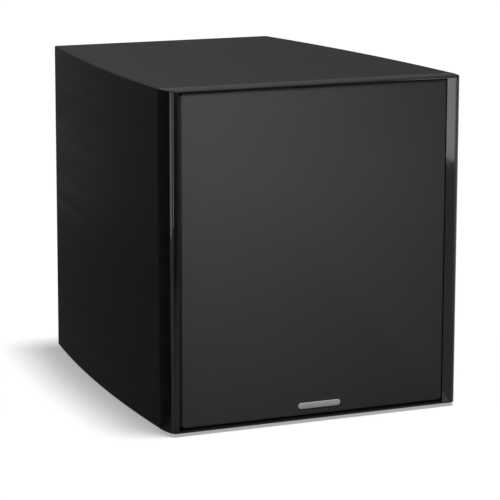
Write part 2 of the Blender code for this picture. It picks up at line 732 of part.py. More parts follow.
def jack_places():
    """(x, z) of the four line jacks, in two rows of two."""
    x, z = JACKS_AT
    across, up = JACK_PITCH[0] / 2, JACK_PITCH[1] / 2
    return [(x + i * across, z + j * up) for i in (1, -1) for j in (1, -1)]


def build_amp_plate(finishes, parent):
    """Plate that closes the window in the back, with an opening for each control and socket."""
    middle = (0.0, (PLATE_LOW + PLATE_HIGH) / 2)
    tall = (PLATE_HIGH - PLATE_LOW) / 2
    outline = rounded_rectangle(PLATE_HALF_WIDTH, tall, PLATE_CORNER, 3, middle)
    bm = add_prism(bmesh.new(), outline, PLATE_INSIDE, PLATE_FACE, "Y")
    plate = make_object("amp_plate", bm, finishes["anodised_plate"], parent)
    through = (PLATE_INSIDE - BEYOND, PLATE_FACE + BEYOND)
    holes = bmesh.new()
    for x, z in plate_screw_places():
        add_cylinder(holes, PLATE_SCREW_HOLE, x, z, through, 8)
    for x in KNOB_X.values():
        add_cylinder(holes, SHAFT_HOLE, x, KNOB_HEIGHT, through)
    for x, z in jack_places():
        add_cylinder(holes, JACK_HOLE, x, z, through)
    add_cylinder(holes, LED_HOLE, LED_X, KNOB_HEIGHT, through)
    for (x, z), (wide, high) in plate_windows().items():
        add_span(holes, (x - wide / 2, through[0], z - high / 2), (x + wide / 2, through[1], z + high / 2))
    return cut(plate, holes)


def build_amp_gasket(finish, parent):
    """Foam frame between the plate and the rear panel, a little smaller than the plate."""
    inset, relief = 0.001, 0.0005
    front = BODY_DEPTH + GAP
    back = front + AMP_GASKET_THICKNESS
    middle = (0.0, (PLATE_LOW + PLATE_HIGH) / 2)
    tall = (PLATE_HIGH - PLATE_LOW) / 2 - inset
    outline = rounded_rectangle(PLATE_HALF_WIDTH - inset, tall, PLATE_CORNER, 3, middle)
    gasket = make_object("amp_gasket", add_prism(bmesh.new(), outline, front, back, "Y"), finish, parent)
    low = (-OPENING_HALF_WIDTH - relief, front - BEYOND, OPENING_LOW - relief)
    high = (OPENING_HALF_WIDTH + relief, back + BEYOND, OPENING_HIGH + relief)
    holes = add_span(bmesh.new(), low, high)
    for x, z in plate_screw_places():
        add_cylinder(holes, PLATE_SCREW_HOLE, x, z, (front - BEYOND, back + BEYOND), 8)
    return cut(gasket, holes)


def plate_windows():
    """Rectangular windows in the plate: centre (x, z) to (width, height)."""
    clear = 2 * GAP
    return {
        MODE_AT: (0.0124, 0.0052),
        ROCKER_AT: (0.0196, 0.0276),
        INLET_AT: (INLET_BODY[0] + clear, INLET_BODY[1] + clear),
    }


def build_heat_sink(finish, parent):
    """Extruded heat sink with upright fins."""
    fins, fin, base, root_high = 13, 0.002, PLATE_FACE + GAP, 0.004
    root, tip = base + root_high, base + FIN_HEIGHT
    pitch = (2 * SINK_HALF_WIDTH - fin) / (fins - 1)
    outline = [(SINK_HALF_WIDTH, base), (-SINK_HALF_WIDTH, base)]
    for i in range(fins):
        left = -SINK_HALF_WIDTH + i * pitch
        outline += [(left, tip), (left + fin, tip)]
        if i < fins - 1:
            outline += [(left + fin, root), (left + pitch, root)]
    make_object("heat_sink", add_prism(bmesh.new(), outline, SINK_LOW, SINK_HIGH, "Z"), finish, parent)


def build_power_board(finish, parent):
    """Board with its soldered parts: two capacitors, a relay, the lead's connector and the output rail."""
    back = PLATE_INSIDE - POWER_BOARD_STANDOFF
    front = back - BOARD
    half_wide, low, high = 0.095, 0.252, 0.342
    bm = add_span(bmesh.new(), (-half_wide, front, low), (half_wide, back, high))
    power = make_object("amp_board", bm, finish, parent)
    parts = bmesh.new()
    parts_height, capacitor_x, capacitor_radius, capacitor_length = 0.280, (-0.040, -0.010), 0.0125, 0.032
    relay_x, relay_wide, relay_deep = 0.035, 0.026, 0.020
    connector_wide, connector_deep = 0.012, 0.012
    for x in capacitor_x:
        add_cylinder(parts, capacitor_radius, x, parts_height, (front - capacitor_length, front + SEAT))
    for (x, z), wide, deep in (
        ((relay_x, parts_height), relay_wide, relay_deep),
        (CONNECTOR_AT, connector_wide, connector_deep),
    ):
        half = wide / 2
        add_span(parts, (x - half, front - deep, z - half), (x + half, front + SEAT, z + half))
    rail_half, rail_low, rail_high = 0.075, 0.312, 0.322
    add_span(parts, (-rail_half, back - SEAT, rail_low), (rail_half, PLATE_INSIDE - GAP, rail_high))
    return join(power, parts)


def build_control_board(finish, parent):
    """Board with its three potentiometers and the status lamp, which all reach the plate."""
    pot, clear, shaft_floor, pot_gap, lamp_proud = 0.017, 0.0004, 0.002, 0.0028, 0.0015
    face = PLATE_INSIDE - CONTROL_BOARD_STANDOFF
    left, right, bottom, top = -0.085, 0.102, 0.160, 0.246
    bm = add_span(bmesh.new(), (left, face - BOARD, bottom), (right, face, top))
    control = make_object("control_board", bm, finish, parent)
    parts = bmesh.new()
    bores = bmesh.new()
    low, high = KNOB_HEIGHT - pot / 2, KNOB_HEIGHT + pot / 2
    for x in KNOB_X.values():
        add_span(parts, (x - pot / 2, face - SEAT, low), (x + pot / 2, PLATE_INSIDE - pot_gap, high))
        bore_depths = (face + shaft_floor, PLATE_INSIDE + BEYOND)
        add_cylinder(bores, SHAFT_RADIUS + clear, x, KNOB_HEIGHT, bore_depths)
    add_cylinder(parts, LED_RADIUS, LED_X, KNOB_HEIGHT, (face - SEAT, PLATE_FACE + lamp_proud))
    join(control, parts)
    return cut(control, bores)


def build_knobs(finish, parent):
    """Knob and shaft in one, turning on the depth axis through its origin."""
    front, shaft_length = PLATE_FACE + GAP, 0.012
    tip, inside = front + KNOB_LENGTH, PLATE_INSIDE - shaft_length
    skirt_high, skirt_top, waist, neck, crown, crown_high = 0.003, 0.0045, 0.002, 0.0025, 0.0035, 0.001
    profile = [(0, inside), (SHAFT_RADIUS, inside), (SHAFT_RADIUS, front), (KNOB_RADIUS, front)]
    profile += [(KNOB_RADIUS, front + skirt_high), (KNOB_RADIUS - waist, front + skirt_top)]
    profile += [(KNOB_RADIUS - neck, tip - crown_high), (KNOB_RADIUS - crown, tip), (0, tip)]
    pointer_size, pointer_up = (0.0012, 0.0016, 0.006), 0.004
    for name, x in KNOB_X.items():
        bm = add_lathe(bmesh.new(), profile, 16)
        knob = make_object(name, bm, finish, parent, (x, 0, KNOB_HEIGHT), smooth=True)
        cut(knob, add_box(bmesh.new(), pointer_size, (0, tip, pointer_up)))


def build_line_jacks(finish, parent):
    """One moulded block with four phono jacks that pass through the plate."""
    x, z = JACKS_AT
    wide, deep, tall = 0.042, 0.0130, 0.038
    sleeve, bore, sleeve_root, sleeve_proud, bore_root = 0.0042, 0.0017, 0.004, 0.0095, 0.003
    bm = add_box(bmesh.new(), (wide, deep, tall), (x, PLATE_INSIDE - GAP - deep / 2, z))
    block = make_object("line_jack_block", bm, finish, parent)
    sleeves = bmesh.new()
    bores = bmesh.new()
    for jack_x, jack_z in jack_places():
        sleeve_depths = (PLATE_INSIDE - sleeve_root, PLATE_FACE + sleeve_proud)
        add_cylinder(sleeves, sleeve, jack_x, jack_z, sleeve_depths)
        bore_depths = (PLATE_INSIDE - bore_root, PLATE_FACE + sleeve_proud + BEYOND)
        add_cylinder(bores, bore, jack_x, jack_z, bore_depths, 8)
    join(block, sleeves)
    return cut(block, bores)


def build_mains_inlet(finishes, parent):
    """Three-pin inlet with its own fuse drawer above the pins."""
    x, z = INLET_AT
    width, height = INLET_BODY
    flange_half, flange_tall, flange_thick, body_deep = 0.025, 0.0175, 0.0022, 0.021
    flange_back = PLATE_FACE + GAP
    face = flange_back + flange_thick
    flange = rounded_rectangle(flange_half, flange_tall, 0.003, 2, INLET_AT)
    bm = add_prism(bmesh.new(), flange, flange_back, face, "Y")
    inlet = make_object("mains_inlet", bm, finishes["black_plastic"], parent)
    low = (x - width / 2, PLATE_INSIDE - body_deep, z - height / 2)
    high = (x + width / 2, face - 0.001, z + height / 2)
    join(inlet, add_span(bmesh.new(), low, high))

    plug_half, plug_tall, plug_deep, plug_z = 0.012, 0.0082, 0.0125, z - 0.0050
    plug_floor = PLATE_INSIDE - plug_deep
    plug = rounded_rectangle(plug_half, plug_tall, 0.003, 2, (x, plug_z))
    hollows = add_prism(bmesh.new(), plug, plug_floor, face + BEYOND, "Y")
    bay_half, bay_tall, bay_deep, bay_z = 0.0120, 0.0038, 0.0170, z + 0.0095
    low = (x - bay_half, PLATE_INSIDE - bay_deep, bay_z - bay_tall)
    add_span(hollows, low, (x + bay_half, face + BEYOND, bay_z + bay_tall))
    cut(inlet, hollows)
    pin_size, pin_middle = (0.002, 0.0145, 0.004), plug_floor + 0.0062
    pins = bmesh.new()
    for across, up in ((-0.007, -0.002), (0.0, 0.002), (0.007, -0.002)):
        add_box(pins, pin_size, (x + across, pin_middle, plug_z + up))
    join(inlet, pins)

    drawer_wide, drawer_deep, drawer_tall, drawer_proud = 0.0232, 0.0190, 0.0068, 0.0008
    bm = add_box(bmesh.new(), (drawer_wide, drawer_deep, drawer_tall), (0, -drawer_deep / 2, 0))
    place = (x, face + drawer_proud, bay_z)
    drawer = make_object("fuse_drawer", bm, finishes["black_plastic"], parent, place)
    fuse_low, fuse_high = (-0.0105, -0.0170, -0.0028), (0.0105, -0.0100, drawer_tall)
    cut(drawer, add_span(bmesh.new(), fuse_low, fuse_high))


def build_power_switch(finishes, parent):
    """Rocker switch; the rocker's origin is on its pivot and it rests on its off side."""
    x, z = ROCKER_AT
    rim_half, rim_tall, rim_thick, body_deep = 0.0115, 0.0160, 0.0020, 0.014
    body_wide, body_tall, cavity_wide, cavity_tall, cavity_deep = 0.0190, 0.0270, 0.0163, 0.0252, 0.0080
    rim_face = PLATE_FACE + GAP + rim_thick
    pivot = PLATE_FACE - 0.0005
    outline = rounded_rectangle(rim_half, rim_tall, 0.0015, 2, ROCKER_AT)
    bm = add_prism(bmesh.new(), outline, PLATE_FACE + GAP, rim_face, "Y")
    housing = make_object("power_switch_housing", bm, finishes["black_plastic"], parent)
    low = (x - body_wide / 2, PLATE_INSIDE - body_deep, z - body_tall / 2)
    join(housing, add_span(bmesh.new(), low, (x + body_wide / 2, rim_face - 0.001, z + body_tall / 2)))
    low = (x - cavity_wide / 2, pivot - cavity_deep, z - cavity_tall / 2)
    high = (x + cavity_wide / 2, rim_face + BEYOND, z + cavity_tall / 2)
    cut(housing, add_span(bmesh.new(), low, high))

    half_wide, length, face, middle, back, keel = 0.0077, 0.0115, 0.0048, 0.0034, -0.0040, -0.0060
    outline = [(face, length), (middle, 0.0), (face, -length)]
    outline += [(back, -length), (keel, 0.0), (back, length)]
    rocker = add_prism(bmesh.new(), outline, -half_wide, half_wide, "X")
    place, tilt = (x, pivot, z), (-ROCKER_TILT, 0, 0)
    make_object("power_rocker", rocker, finishes["black_plastic"], parent, place, tilt)


def build_mode_switch(finishes, parent):
    """Three-position slide switch: its slider travels along x."""
    x, z = MODE_AT
    half_wide, half_tall, deep = 0.011, 0.005, 0.0085
    slot_half, slot_tall, slot_floor = 0.0062, 0.0026, 0.003
    slider_half, slider_proud = 0.0022, 0.0035
    front, back = PLATE_INSIDE - deep, PLATE_INSIDE - GAP
    bm = add_span(bmesh.new(), (x - half_wide, front, z - half_tall), (x + half_wide, back, z + half_tall))
    housing = make_object("mode_switch_housing", bm, finishes["zinc_steel"], parent)
    low = (x - slot_half, front + slot_floor, z - slot_tall)
    cut(housing, add_span(bmesh.new(), low, (x + slot_half, back + BEYOND, z + slot_tall)))
    low = (-slider_half, front + slot_floor + GAP, -slider_half)
    bm = add_span(bmesh.new(), low, (slider_half, PLATE_FACE + slider_proud, slider_half))
    make_object("mode_slider", bm, finishes["black_plastic"], parent, (x, 0, z))


def build_transformer(finishes, parent):
    """Ring transformer held to the plate by a dished washer and its bolt."""
    x, z = TRANSFORMER_AT
    inner, outer, thick, bulge = 0.013, 0.041, 0.040, 0.007
    back = PLATE_INSIDE - GAP
    front = back - thick
    middle = ((inner + outer) / 2, (front + back) / 2)
    profile = rounded_rectangle((outer - inner) / 2, (back - front) / 2, bulge, 2, middle)
    ring = add_lathe(bmesh.new(), profile, 20)
    make_object("ring_transformer", ring, finishes["winding_wrap"], parent, (x, 0, z), smooth=True)

    washer, rim, dish, bolt_head, shank = 0.028, 0.0015, 0.0030, 0.0055, 0.003
    seat = front - GAP
    head_front = seat - dish - 0.0045
    profile = [(0, head_front), (bolt_head, head_front), (bolt_head, seat - dish), (washer, seat - rim)]
    profile += [(washer, seat), (shank, seat), (shank, back), (0, back)]
    clamp = add_lathe(bmesh.new(), profile, 16)
    make_object("transformer_clamp", clamp, finishes["zinc_steel"], parent, (x, 0, z), smooth=True)


def build_plate_screws(finish, parent):
    """Pan-head screws that hold the plate to the rear panel."""
    under, tip = PLATE_FACE + GAP, BODY_DEPTH - 0.013
    head, shank, recess, crown = 0.0040, 0.0018, 0.0016, 0.0028
    wall_high, crown_high, recess_edge, recess_floor = 0.0012, 0.0024, 0.0027, 0.0010
    profile = [(0, tip), (shank, tip), (shank, under), (head, under), (head, under + wall_high)]
    profile += [(crown, under + crown_high), (recess, under + recess_edge), (0, under + recess_floor)]
    build_screws("amp_screw", profile, plate_screw_places(), finish, parent)


def build_speaker_lead(finish, parent):
    """Two-core lead from the power board, through the brace, to the terminal on the basket."""
    terminal_back, connector_front, lead_radius = 0.0628, 0.0412, 0.0025
    start = Vector((0.0, FLANGE_DEPTH + terminal_back, DRIVER_HEIGHT - TERMINAL_RADIUS))
    end = Vector((CONNECTOR_AT[0], PLATE_INSIDE - connector_front, CONNECTOR_AT[1]))
    leaves_driver, through_brace = Vector((0.0, 0.050, -0.012)), Vector((0.030, 0.300, 0.150))
    reaches_board = Vector((0.0, -0.030, -0.001))
    path = [start, start + leaves_driver, through_brace, end + reaches_board, end]
    curve = bpy.data.curves.new("speaker_lead", "CURVE")
    curve.dimensions = "3D"
    curve.bevel_depth = lead_radius
    curve.bevel_resolution = 1
    curve.resolution_u = 5
    curve.use_fill_caps = True
    spline = curve.splines.new("BEZIER")
    spline.bezier_points.add(len(path) - 1)
    for point, place in zip(spline.bezier_points, path):
        point.co = place
        point.handle_left_type = point.handle_right_type = "AUTO"
    curve.materials.append(finish)
    lead = bpy.data.objects.new("speaker_lead", curve)
    bpy.context.scene.collection.objects.link(lead)
    lead.parent = parent


def build_amplifier(finishes, parent):
    build_amp_plate(finishes, parent)
    build_amp_gasket(finishes["foam"], parent)
    build_heat_sink(finishes["anodised_plate"], parent)
    build_power_board(finishes["circuit_board"], parent)
    build_control_board(finishes["circuit_board"], parent)
    build_knobs(finishes["black_plastic"], parent)
    build_line_jacks(finishes["black_plastic"], parent)
    build_mains_inlet(finishes, parent)
    build_power_switch(finishes, parent)
    build_mode_switch(finishes, parent)
    build_transformer(finishes, parent)
    build_plate_screws(finishes["black_steel"], parent)


def main():
    for old in list(bpy.data.objects):
        bpy.data.objects.remove(old)
    finishes = make_materials()
    cabinet = make_empty("cabinet_frame", location=(0, -MIDDLE_DEPTH, FOOT_HEIGHT))
    build_cabinet(finishes, cabinet)
    build_grille_sockets(finishes["rubber"], cabinet)
    build_grille(finishes, cabinet)
    build_driver(finishes, cabinet)
    build_amplifier(finishes, cabinet)
    build_speaker_lead(finishes["cable_jacket"], cabinet)


main()
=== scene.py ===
"""Looks of the powered subwoofer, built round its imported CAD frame.

Metres, +Z up, and the grille faces -Y. Places and main sizes are read from the frame. The CAD nodes that stay
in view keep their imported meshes, and only get a finish.
"""

import json
import math

import bmesh
import bpy
import numpy as np
from mathutils import Matrix, Vector


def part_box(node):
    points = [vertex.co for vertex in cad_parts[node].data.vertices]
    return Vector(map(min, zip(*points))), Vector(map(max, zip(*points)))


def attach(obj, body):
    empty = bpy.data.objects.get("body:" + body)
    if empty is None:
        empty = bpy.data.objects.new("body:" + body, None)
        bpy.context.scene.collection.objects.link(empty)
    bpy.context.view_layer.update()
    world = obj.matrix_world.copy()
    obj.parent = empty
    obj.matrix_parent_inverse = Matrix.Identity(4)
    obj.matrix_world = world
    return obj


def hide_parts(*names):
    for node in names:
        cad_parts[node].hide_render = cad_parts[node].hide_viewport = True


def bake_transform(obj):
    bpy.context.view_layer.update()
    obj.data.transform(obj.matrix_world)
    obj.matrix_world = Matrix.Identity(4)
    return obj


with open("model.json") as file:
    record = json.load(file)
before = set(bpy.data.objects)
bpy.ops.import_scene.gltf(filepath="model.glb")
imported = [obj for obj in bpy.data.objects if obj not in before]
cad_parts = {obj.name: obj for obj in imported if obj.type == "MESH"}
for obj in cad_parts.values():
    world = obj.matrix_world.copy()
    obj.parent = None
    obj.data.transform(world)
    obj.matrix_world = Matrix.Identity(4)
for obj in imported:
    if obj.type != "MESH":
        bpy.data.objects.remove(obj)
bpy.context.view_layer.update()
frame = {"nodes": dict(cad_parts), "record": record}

# Cabinet, from the frame
BEZEL_LOW, BEZEL_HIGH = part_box("front_bezel")
FRONT, BASE, TOP = BEZEL_LOW.y, BEZEL_LOW.z, BEZEL_HIGH.z
HALF_WIDTH, BEZEL_BACK = BEZEL_HIGH.x, BEZEL_HIGH.y
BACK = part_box("top_panel")[1].y
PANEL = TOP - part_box("top_panel")[0].z
INNER_HALF_WIDTH = 0.180
WALL = HALF_WIDTH - INNER_HALF_WIDTH
BACK_HALF_WIDTH = max(v.co.x for v in frame["nodes"]["top_panel"].data.vertices if v.co.y > BACK - 0.001)
EDGE = 0.0022

# Bezel
PILLAR_SWEEP = 0.0100
PILLAR_FLAT = 0.0030
BEVEL_WIDTH = 0.0065
BEVEL_DEPTH = 0.009
LIP = 0.0025
OPENING_HALF = HALF_WIDTH - PILLAR_SWEEP - PILLAR_FLAT - BEVEL_WIDTH

# Driver, from the frame
DRIVER = (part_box("driver_basket")[0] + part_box("driver_basket")[1]) / 2
AXIS = (DRIVER.x, DRIVER.z)
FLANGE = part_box("driver_basket")[0].y
SEGMENTS = 96

# Amplifier plate, from the frame
PLATE_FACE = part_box("amp_plate")[1].y
PLATE_LAMP_X = 0.095
GAP = 0.0003

# Studio: brightness of the walls as stops of (x of the direction, level), below and above the horizon
FILL = 0.10
LOW_GLOW = (
    (-1.0, 0.45), (-0.93, 0.45), (-0.90, 0.03), (-0.45, 0.03), (-0.25, 0.07),
    (0.37, 0.07), (0.475, 0.45), (0.60, 1.20), (1.0, 1.20),
)
HIGH_GLOW = ((-1.0, 0.03), (-0.45, 0.03), (0.10, 0.14), (0.30, 0.215), (0.46, 0.115), (0.60, 0.09))
HORIZON = (-0.05, 0.05)
WHITE = (1.0, 1.0, 1.0)

# Floor: tone to the camera and to diffuse rays, and a painted pool of light: a glow on the floor that only
# mirrors see
FLOOR_SIZE = 12.0
FLOOR_TONE = 0.93
FLOOR_BOUNCE = 0.08
FLOOR_GLOW = 0.38
PAINTED_POOL_GLOW = 0.50
POOL_REACH = (0.05, 1.05)
POOL_EDGE = (-0.05, 0.05)

# Lamps
SUN_POWER = 1.9
SUN_ANGLE = 11.5
KEY_POWER = 3.05
KEY_SIZE = 0.25
SOFTBOXES = (  # name, place, target, size, radiance
    ("overhead", (0.45, -0.30, 1.9), (0.2, -0.1, 0.4), (1.5, 1.5), 0.9),
    ("left_box", (-1.02, -0.09, 0.38), (-0.195, -0.258, 0.38), (0.20, 0.56), 1.5),
    ("front_strip", (-0.737, -0.434, 0.46), (0.187, -0.261, 0.46), (0.08, 0.58), 3.4),
    ("right_strip", (0.768, -1.316, 0.35), (0.19, -0.266, 0.35), (0.10, 0.50), 2.0),
    ("rear_box", (-0.30, 1.20, 0.30), (-0.17, 0.26, 0.30), (0.60, 0.58), 0.065),
    ("rear_key", (0.55, BACK + 1.10, 0.24), (0.0, BACK, 0.22), (0.20, 0.20), 40.0),
)


# ---- node materials


class Graph:
    """A node tree under construction. place is the texture coordinate that its patterns use."""

    def __init__(self, tree, place="Object"):
        self.nodes, self.links = tree.nodes, tree.links
        self.place = self.source("TexCoord", place)

    def node(self, kind, **settings):
        node = self.nodes.new(f"ShaderNode{kind}")
        for key, value in settings.items():
            setattr(node, key, value)
        return node

    def source(self, kind, output):
        return self.node(kind).outputs[output]

    def ray(self, kind):
        return self.source("LightPath", f"Is {kind} Ray")

    def plug(self, value, socket):
        if isinstance(value, bpy.types.NodeSocket):
            self.links.new(value, socket)
        else:
            socket.default_value = (*value, 1.0) if socket.type == "RGBA" else value

    def texture(self, kind, scale, **inputs):
        """Texture with one scale, or a scale for each axis, in features per metre."""
        stretch = self.node("Mapping")
        self.plug(self.place, stretch.inputs["Vector"])
        stretch.inputs["Scale"].default_value = scale if isinstance(scale, tuple) else (scale,) * 3
        node = self.node(kind)
        self.plug(stretch.outputs["Vector"], node.inputs["Vector"])
        for name, value in {"Scale": 1.0, **inputs}.items():
            node.inputs[name].default_value = value
        return node

    def noise(self, scale, detail=3.0, roughness=0.55):
        return self.texture("TexNoise", scale, Detail=detail, Roughness=roughness).outputs["Fac"]

    def cells(self, scale):
        return self.texture("TexVoronoi", scale).outputs["Distance"]

    def maths(self, operation, a, b=0.0):
        node = self.node("Math", operation=operation)
        self.plug(a, node.inputs[0])
        self.plug(b, node.inputs[1])
        return node.outputs[0]

    def weigh(self, a, share, b, other_share):
        return self.maths("ADD", self.maths("MULTIPLY", a, share), self.maths("MULTIPLY", b, other_share))

    def spread(self, value, low, high, start=0.3, end=0.7):
        """Maps a value between start and end on to low to high."""
        node = self.node("MapRange")
        self.plug(value, node.inputs["Value"])
        for name, number in (("From Min", start), ("From Max", end), ("To Min", low), ("To Max", high)):
            node.inputs[name].default_value = number
        return node.outputs["Result"]

    def blend(self, share, first, second):
        node = self.node("Mix", data_type="RGBA")
        for value, name in ((share, "Factor"), (first, "A"), (second, "B")):
            self.plug(value, node.inputs[name])
        return node.outputs["Result"]

    def tints(self, value, colour, low, high, start=0.3, end=0.7):
        """Darker and lighter tints of a colour, mixed by a value."""
        return self.blend(self.spread(value, 0.0, 1.0, start, end), tinted(colour, low), tinted(colour, high))

    def mix(self, share, first, second):
        """Mixes two shaders."""
        node = self.node("MixShader")
        for value, socket in zip((share, first, second), node.inputs):
            self.plug(value, socket)
        return node.outputs[0]

    def axes(self, place=None):
        node = self.node("SeparateXYZ")
        self.plug(place or self.place, node.inputs[0])
        return node.outputs

    def relief(self, height, distance, under=None):
        node = self.node("Bump")
        node.inputs["Distance"].default_value = distance
        node.inputs["Strength"].default_value = 1.0
        self.plug(height, node.inputs["Height"])
        if under is not None:
            self.plug(under, node.inputs["Normal"])
        return node.outputs["Normal"]


class Shader(Graph):
    """A material under construction."""

    INPUTS = {
        "colour": "Base Color",
        "rough": "Roughness",
        "metal": "Metallic",
        "normal": "Normal",
        "sheen": "Sheen Weight",
        "specular": "Specular IOR Level",
        "glow": "Emission Color",
        "glow_strength": "Emission Strength",
    }

    def __init__(self, name):
        self.material = bpy.data.materials.new(name)
        self.material.use_nodes = True
        super().__init__(self.material.node_tree)
        self.bsdf = self.nodes["Principled BSDF"]

    def set(self, **inputs):
        for key, value in inputs.items():
            self.plug(value, self.bsdf.inputs[self.INPUTS[key]])
        return self.material


def tinted(colour, factor):
    return tuple(channel * factor for channel in colour)


def speckled(name, colour, rough, metal=0.0, grain=900.0, relief=0.00005, contrast=0.25):
    """Painted, moulded or cast surface: fine relief, uneven colour and uneven gloss."""
    s = Shader(name)
    fine = s.noise(grain)
    broad = s.noise(14.0, 4.0)
    shade = s.weigh(fine, 0.4, broad, 0.6)
    return s.set(
        colour=s.tints(shade, colour, 1 - contrast, 1 + contrast),
        rough=s.spread(broad, rough * 0.85, min(1.0, rough * 1.15)),
        metal=metal,
        normal=s.relief(fine, relief),
    )


def veneer(name, flat_axis):
    """Black-stained wood with straight grain from front to back, under a thin satin lacquer.

    flat_axis is the axis the sheet is thin along: the grain doesn't change through the sheet.
    """
    s = Shader(name)

    def along(fine, slow):
        scale = [fine, slow, fine]
        scale[flat_axis] = 0.0
        return tuple(scale)

    pores = s.noise(along(1700.0, 22.0), 3.0, 0.6)
    strands = s.noise(along(420.0, 2.4), 4.0, 0.6)
    bands = s.noise(along(38.0, 0.9), 2.0)
    grain = s.weigh(strands, 0.55, bands, 0.45)
    tone = s.blend(s.spread(grain, 0.0, 1.0, 0.36, 0.64), (0.0062, 0.0060, 0.0058), (0.0170, 0.0163, 0.0156))
    return s.set(
        colour=s.blend(s.spread(pores, 0.0, 0.7, 0.56, 0.76), tone, (0.003, 0.003, 0.003)),
        rough=s.spread(grain, 0.33, 0.44, 0.36, 0.64),
        normal=s.relief(strands, 0.00003, under=s.relief(pores, 0.00002)),
        specular=0.42,
    )


def gloss_black():
    """Polished black lacquer with a faint ripple and a few fine scuffs."""
    s = Shader("gloss_black")
    ripple = s.noise(45.0, 1.0)
    scuffs = s.noise((900.0, 900.0, 22.0), 3.0)
    return s.set(
        colour=s.blend(s.spread(ripple, 0.0, 1.0), (0.0030, 0.0030, 0.0032), (0.0050, 0.0050, 0.0052)),
        rough=s.spread(scuffs, 0.055, 0.12, 0.5, 0.8),
        normal=s.relief(ripple, 0.00006),
    )


def woven(name, colour, pitch, rough=0.95, sheen=0.15):
    """Plain weave seen from the front: threads pass over and under each other at the given pitch."""
    s = Shader(name)
    place = s.axes()
    turn = 2 * math.pi / pitch
    warp = s.maths("SINE", s.maths("MULTIPLY", place[0], turn))
    weft = s.maths("SINE", s.maths("MULTIPLY", place[2], turn))
    over = s.maths("MULTIPLY", warp, weft)
    fibres = s.noise(4200.0, 2.0)
    height = s.weigh(over, 0.35, fibres, 0.45)
    uneven = s.noise(22.0, 3.0)
    # Thread tone follows the weave's height: painted shade where a thread dips under its neighbours, and
    # uneven tone from the fibres.
    thread = s.tints(height, colour, 0.55, 1.30, -0.2, 0.6)
    return s.set(
        colour=s.blend(s.spread(uneven, 0.0, 0.20), thread, tinted(colour, 0.8)),
        rough=rough,
        normal=s.relief(height, 0.00016),
        sheen=sheen,
        specular=0.15,
    )


def rubber(name="rubber", colour=(0.012, 0.012, 0.012), rough=0.62):
    s = Shader(name)
    grain = s.noise(2400.0, 2.0)
    bloom = s.noise(26.0, 4.0)
    return s.set(
        colour=s.tints(bloom, colour, 1.0, 1.9, 0.40, 0.72),
        rough=s.spread(bloom, rough - 0.06, rough + 0.12),
        normal=s.relief(grain, 0.00003),
        specular=0.35,
    )


def brushed(name, colour, rough, along, grain=2600.0, metal=1.0):
    """Metal with brush marks that run along one axis."""
    s = Shader(name)
    scale = [grain] * 3
    scale[along] = grain / 90
    marks = s.noise(tuple(scale), 3.0)
    cloud = s.noise(40.0, 3.0)
    return s.set(
        colour=s.tints(marks, colour, 0.82, 1.12),
        rough=s.spread(cloud, rough * 0.8, rough * 1.25),
        metal=metal,
        normal=s.relief(marks, 0.00002),
    )


def turned(name, colour, rough, pitch, metal=1.0, relief=0.00003):
    """Concentric rings about the driver's axis: lathe marks or wound wire."""
    s = Shader(name)
    place = s.axes()
    x = s.maths("SUBTRACT", place[0], DRIVER.x)
    z = s.maths("SUBTRACT", place[2], DRIVER.z)
    radius = s.maths("SQRT", s.maths("ADD", s.maths("MULTIPLY", x, x), s.maths("MULTIPLY", z, z)))
    run = s.maths("ADD", radius, place[1])
    rings = s.maths("SINE", s.maths("MULTIPLY", run, 2 * math.pi / pitch))
    cloud = s.noise(60.0, 4.0)
    return s.set(
        colour=s.tints(cloud, colour, 0.8, 1.15),
        rough=s.spread(cloud, rough * 0.8, rough * 1.25),
        metal=metal,
        normal=s.relief(rings, relief),
    )


def pulp():
    """Pressed paper cone: short fibres under a black coating."""
    s = Shader("cone_paper")
    fibres = s.noise((700.0, 2300.0, 700.0), 5.0, 0.7)
    clumps = s.noise(120.0, 4.0)
    mix = s.weigh(fibres, 0.6, clumps, 0.4)
    return s.set(
        colour=s.blend(s.spread(mix, 0.0, 1.0), (0.012, 0.012, 0.0122), (0.034, 0.034, 0.034)),
        rough=s.spread(clumps, 0.50, 0.72),
        normal=s.relief(mix, 0.00018),
        specular=0.4,
    )


def board(name, colour, contrast):
    """Fibreboard: fine fibres and a broad cloud of uneven tone."""
    s = Shader(name)
    fibres = s.noise(1100.0, 5.0, 0.7)
    cloud = s.noise(30.0, 3.0)
    shade = s.weigh(fibres, 0.7, cloud, 0.3)
    return s.set(
        colour=s.tints(shade, colour, 1 - contrast, 1 + contrast),
        rough=s.spread(cloud, 0.58, 0.80),
        normal=s.relief(fibres, 0.00008),
        specular=0.3,
    )


def circuit():
    """Solder mask with copper tracks that show through as lighter lines, and pale pads."""
    s = Shader("circuit_board")
    place = s.axes()
    across = s.maths("PINGPONG", s.maths("MULTIPLY", place[0], 1.0), 0.0024)
    up = s.maths("PINGPONG", s.maths("MULTIPLY", place[2], 1.0), 0.0031)
    patches = s.noise(70.0, 1.0)
    lines = s.maths("MULTIPLY", s.maths("LESS_THAN", across, 0.0006), s.maths("GREATER_THAN", patches, 0.5))
    rungs = s.maths("MULTIPLY", s.maths("LESS_THAN", up, 0.0006), s.maths("LESS_THAN", patches, 0.5))
    tracks = s.maths("MAXIMUM", lines, rungs)
    pads = s.maths("LESS_THAN", s.cells(260.0), 0.16)
    mask = s.blend(tracks, (0.010, 0.075, 0.030), (0.022, 0.150, 0.060))
    return s.set(
        colour=s.blend(pads, mask, (0.55, 0.55, 0.52)),
        rough=s.spread(patches, 0.25, 0.42),
        normal=s.relief(tracks, 0.00004),
    )


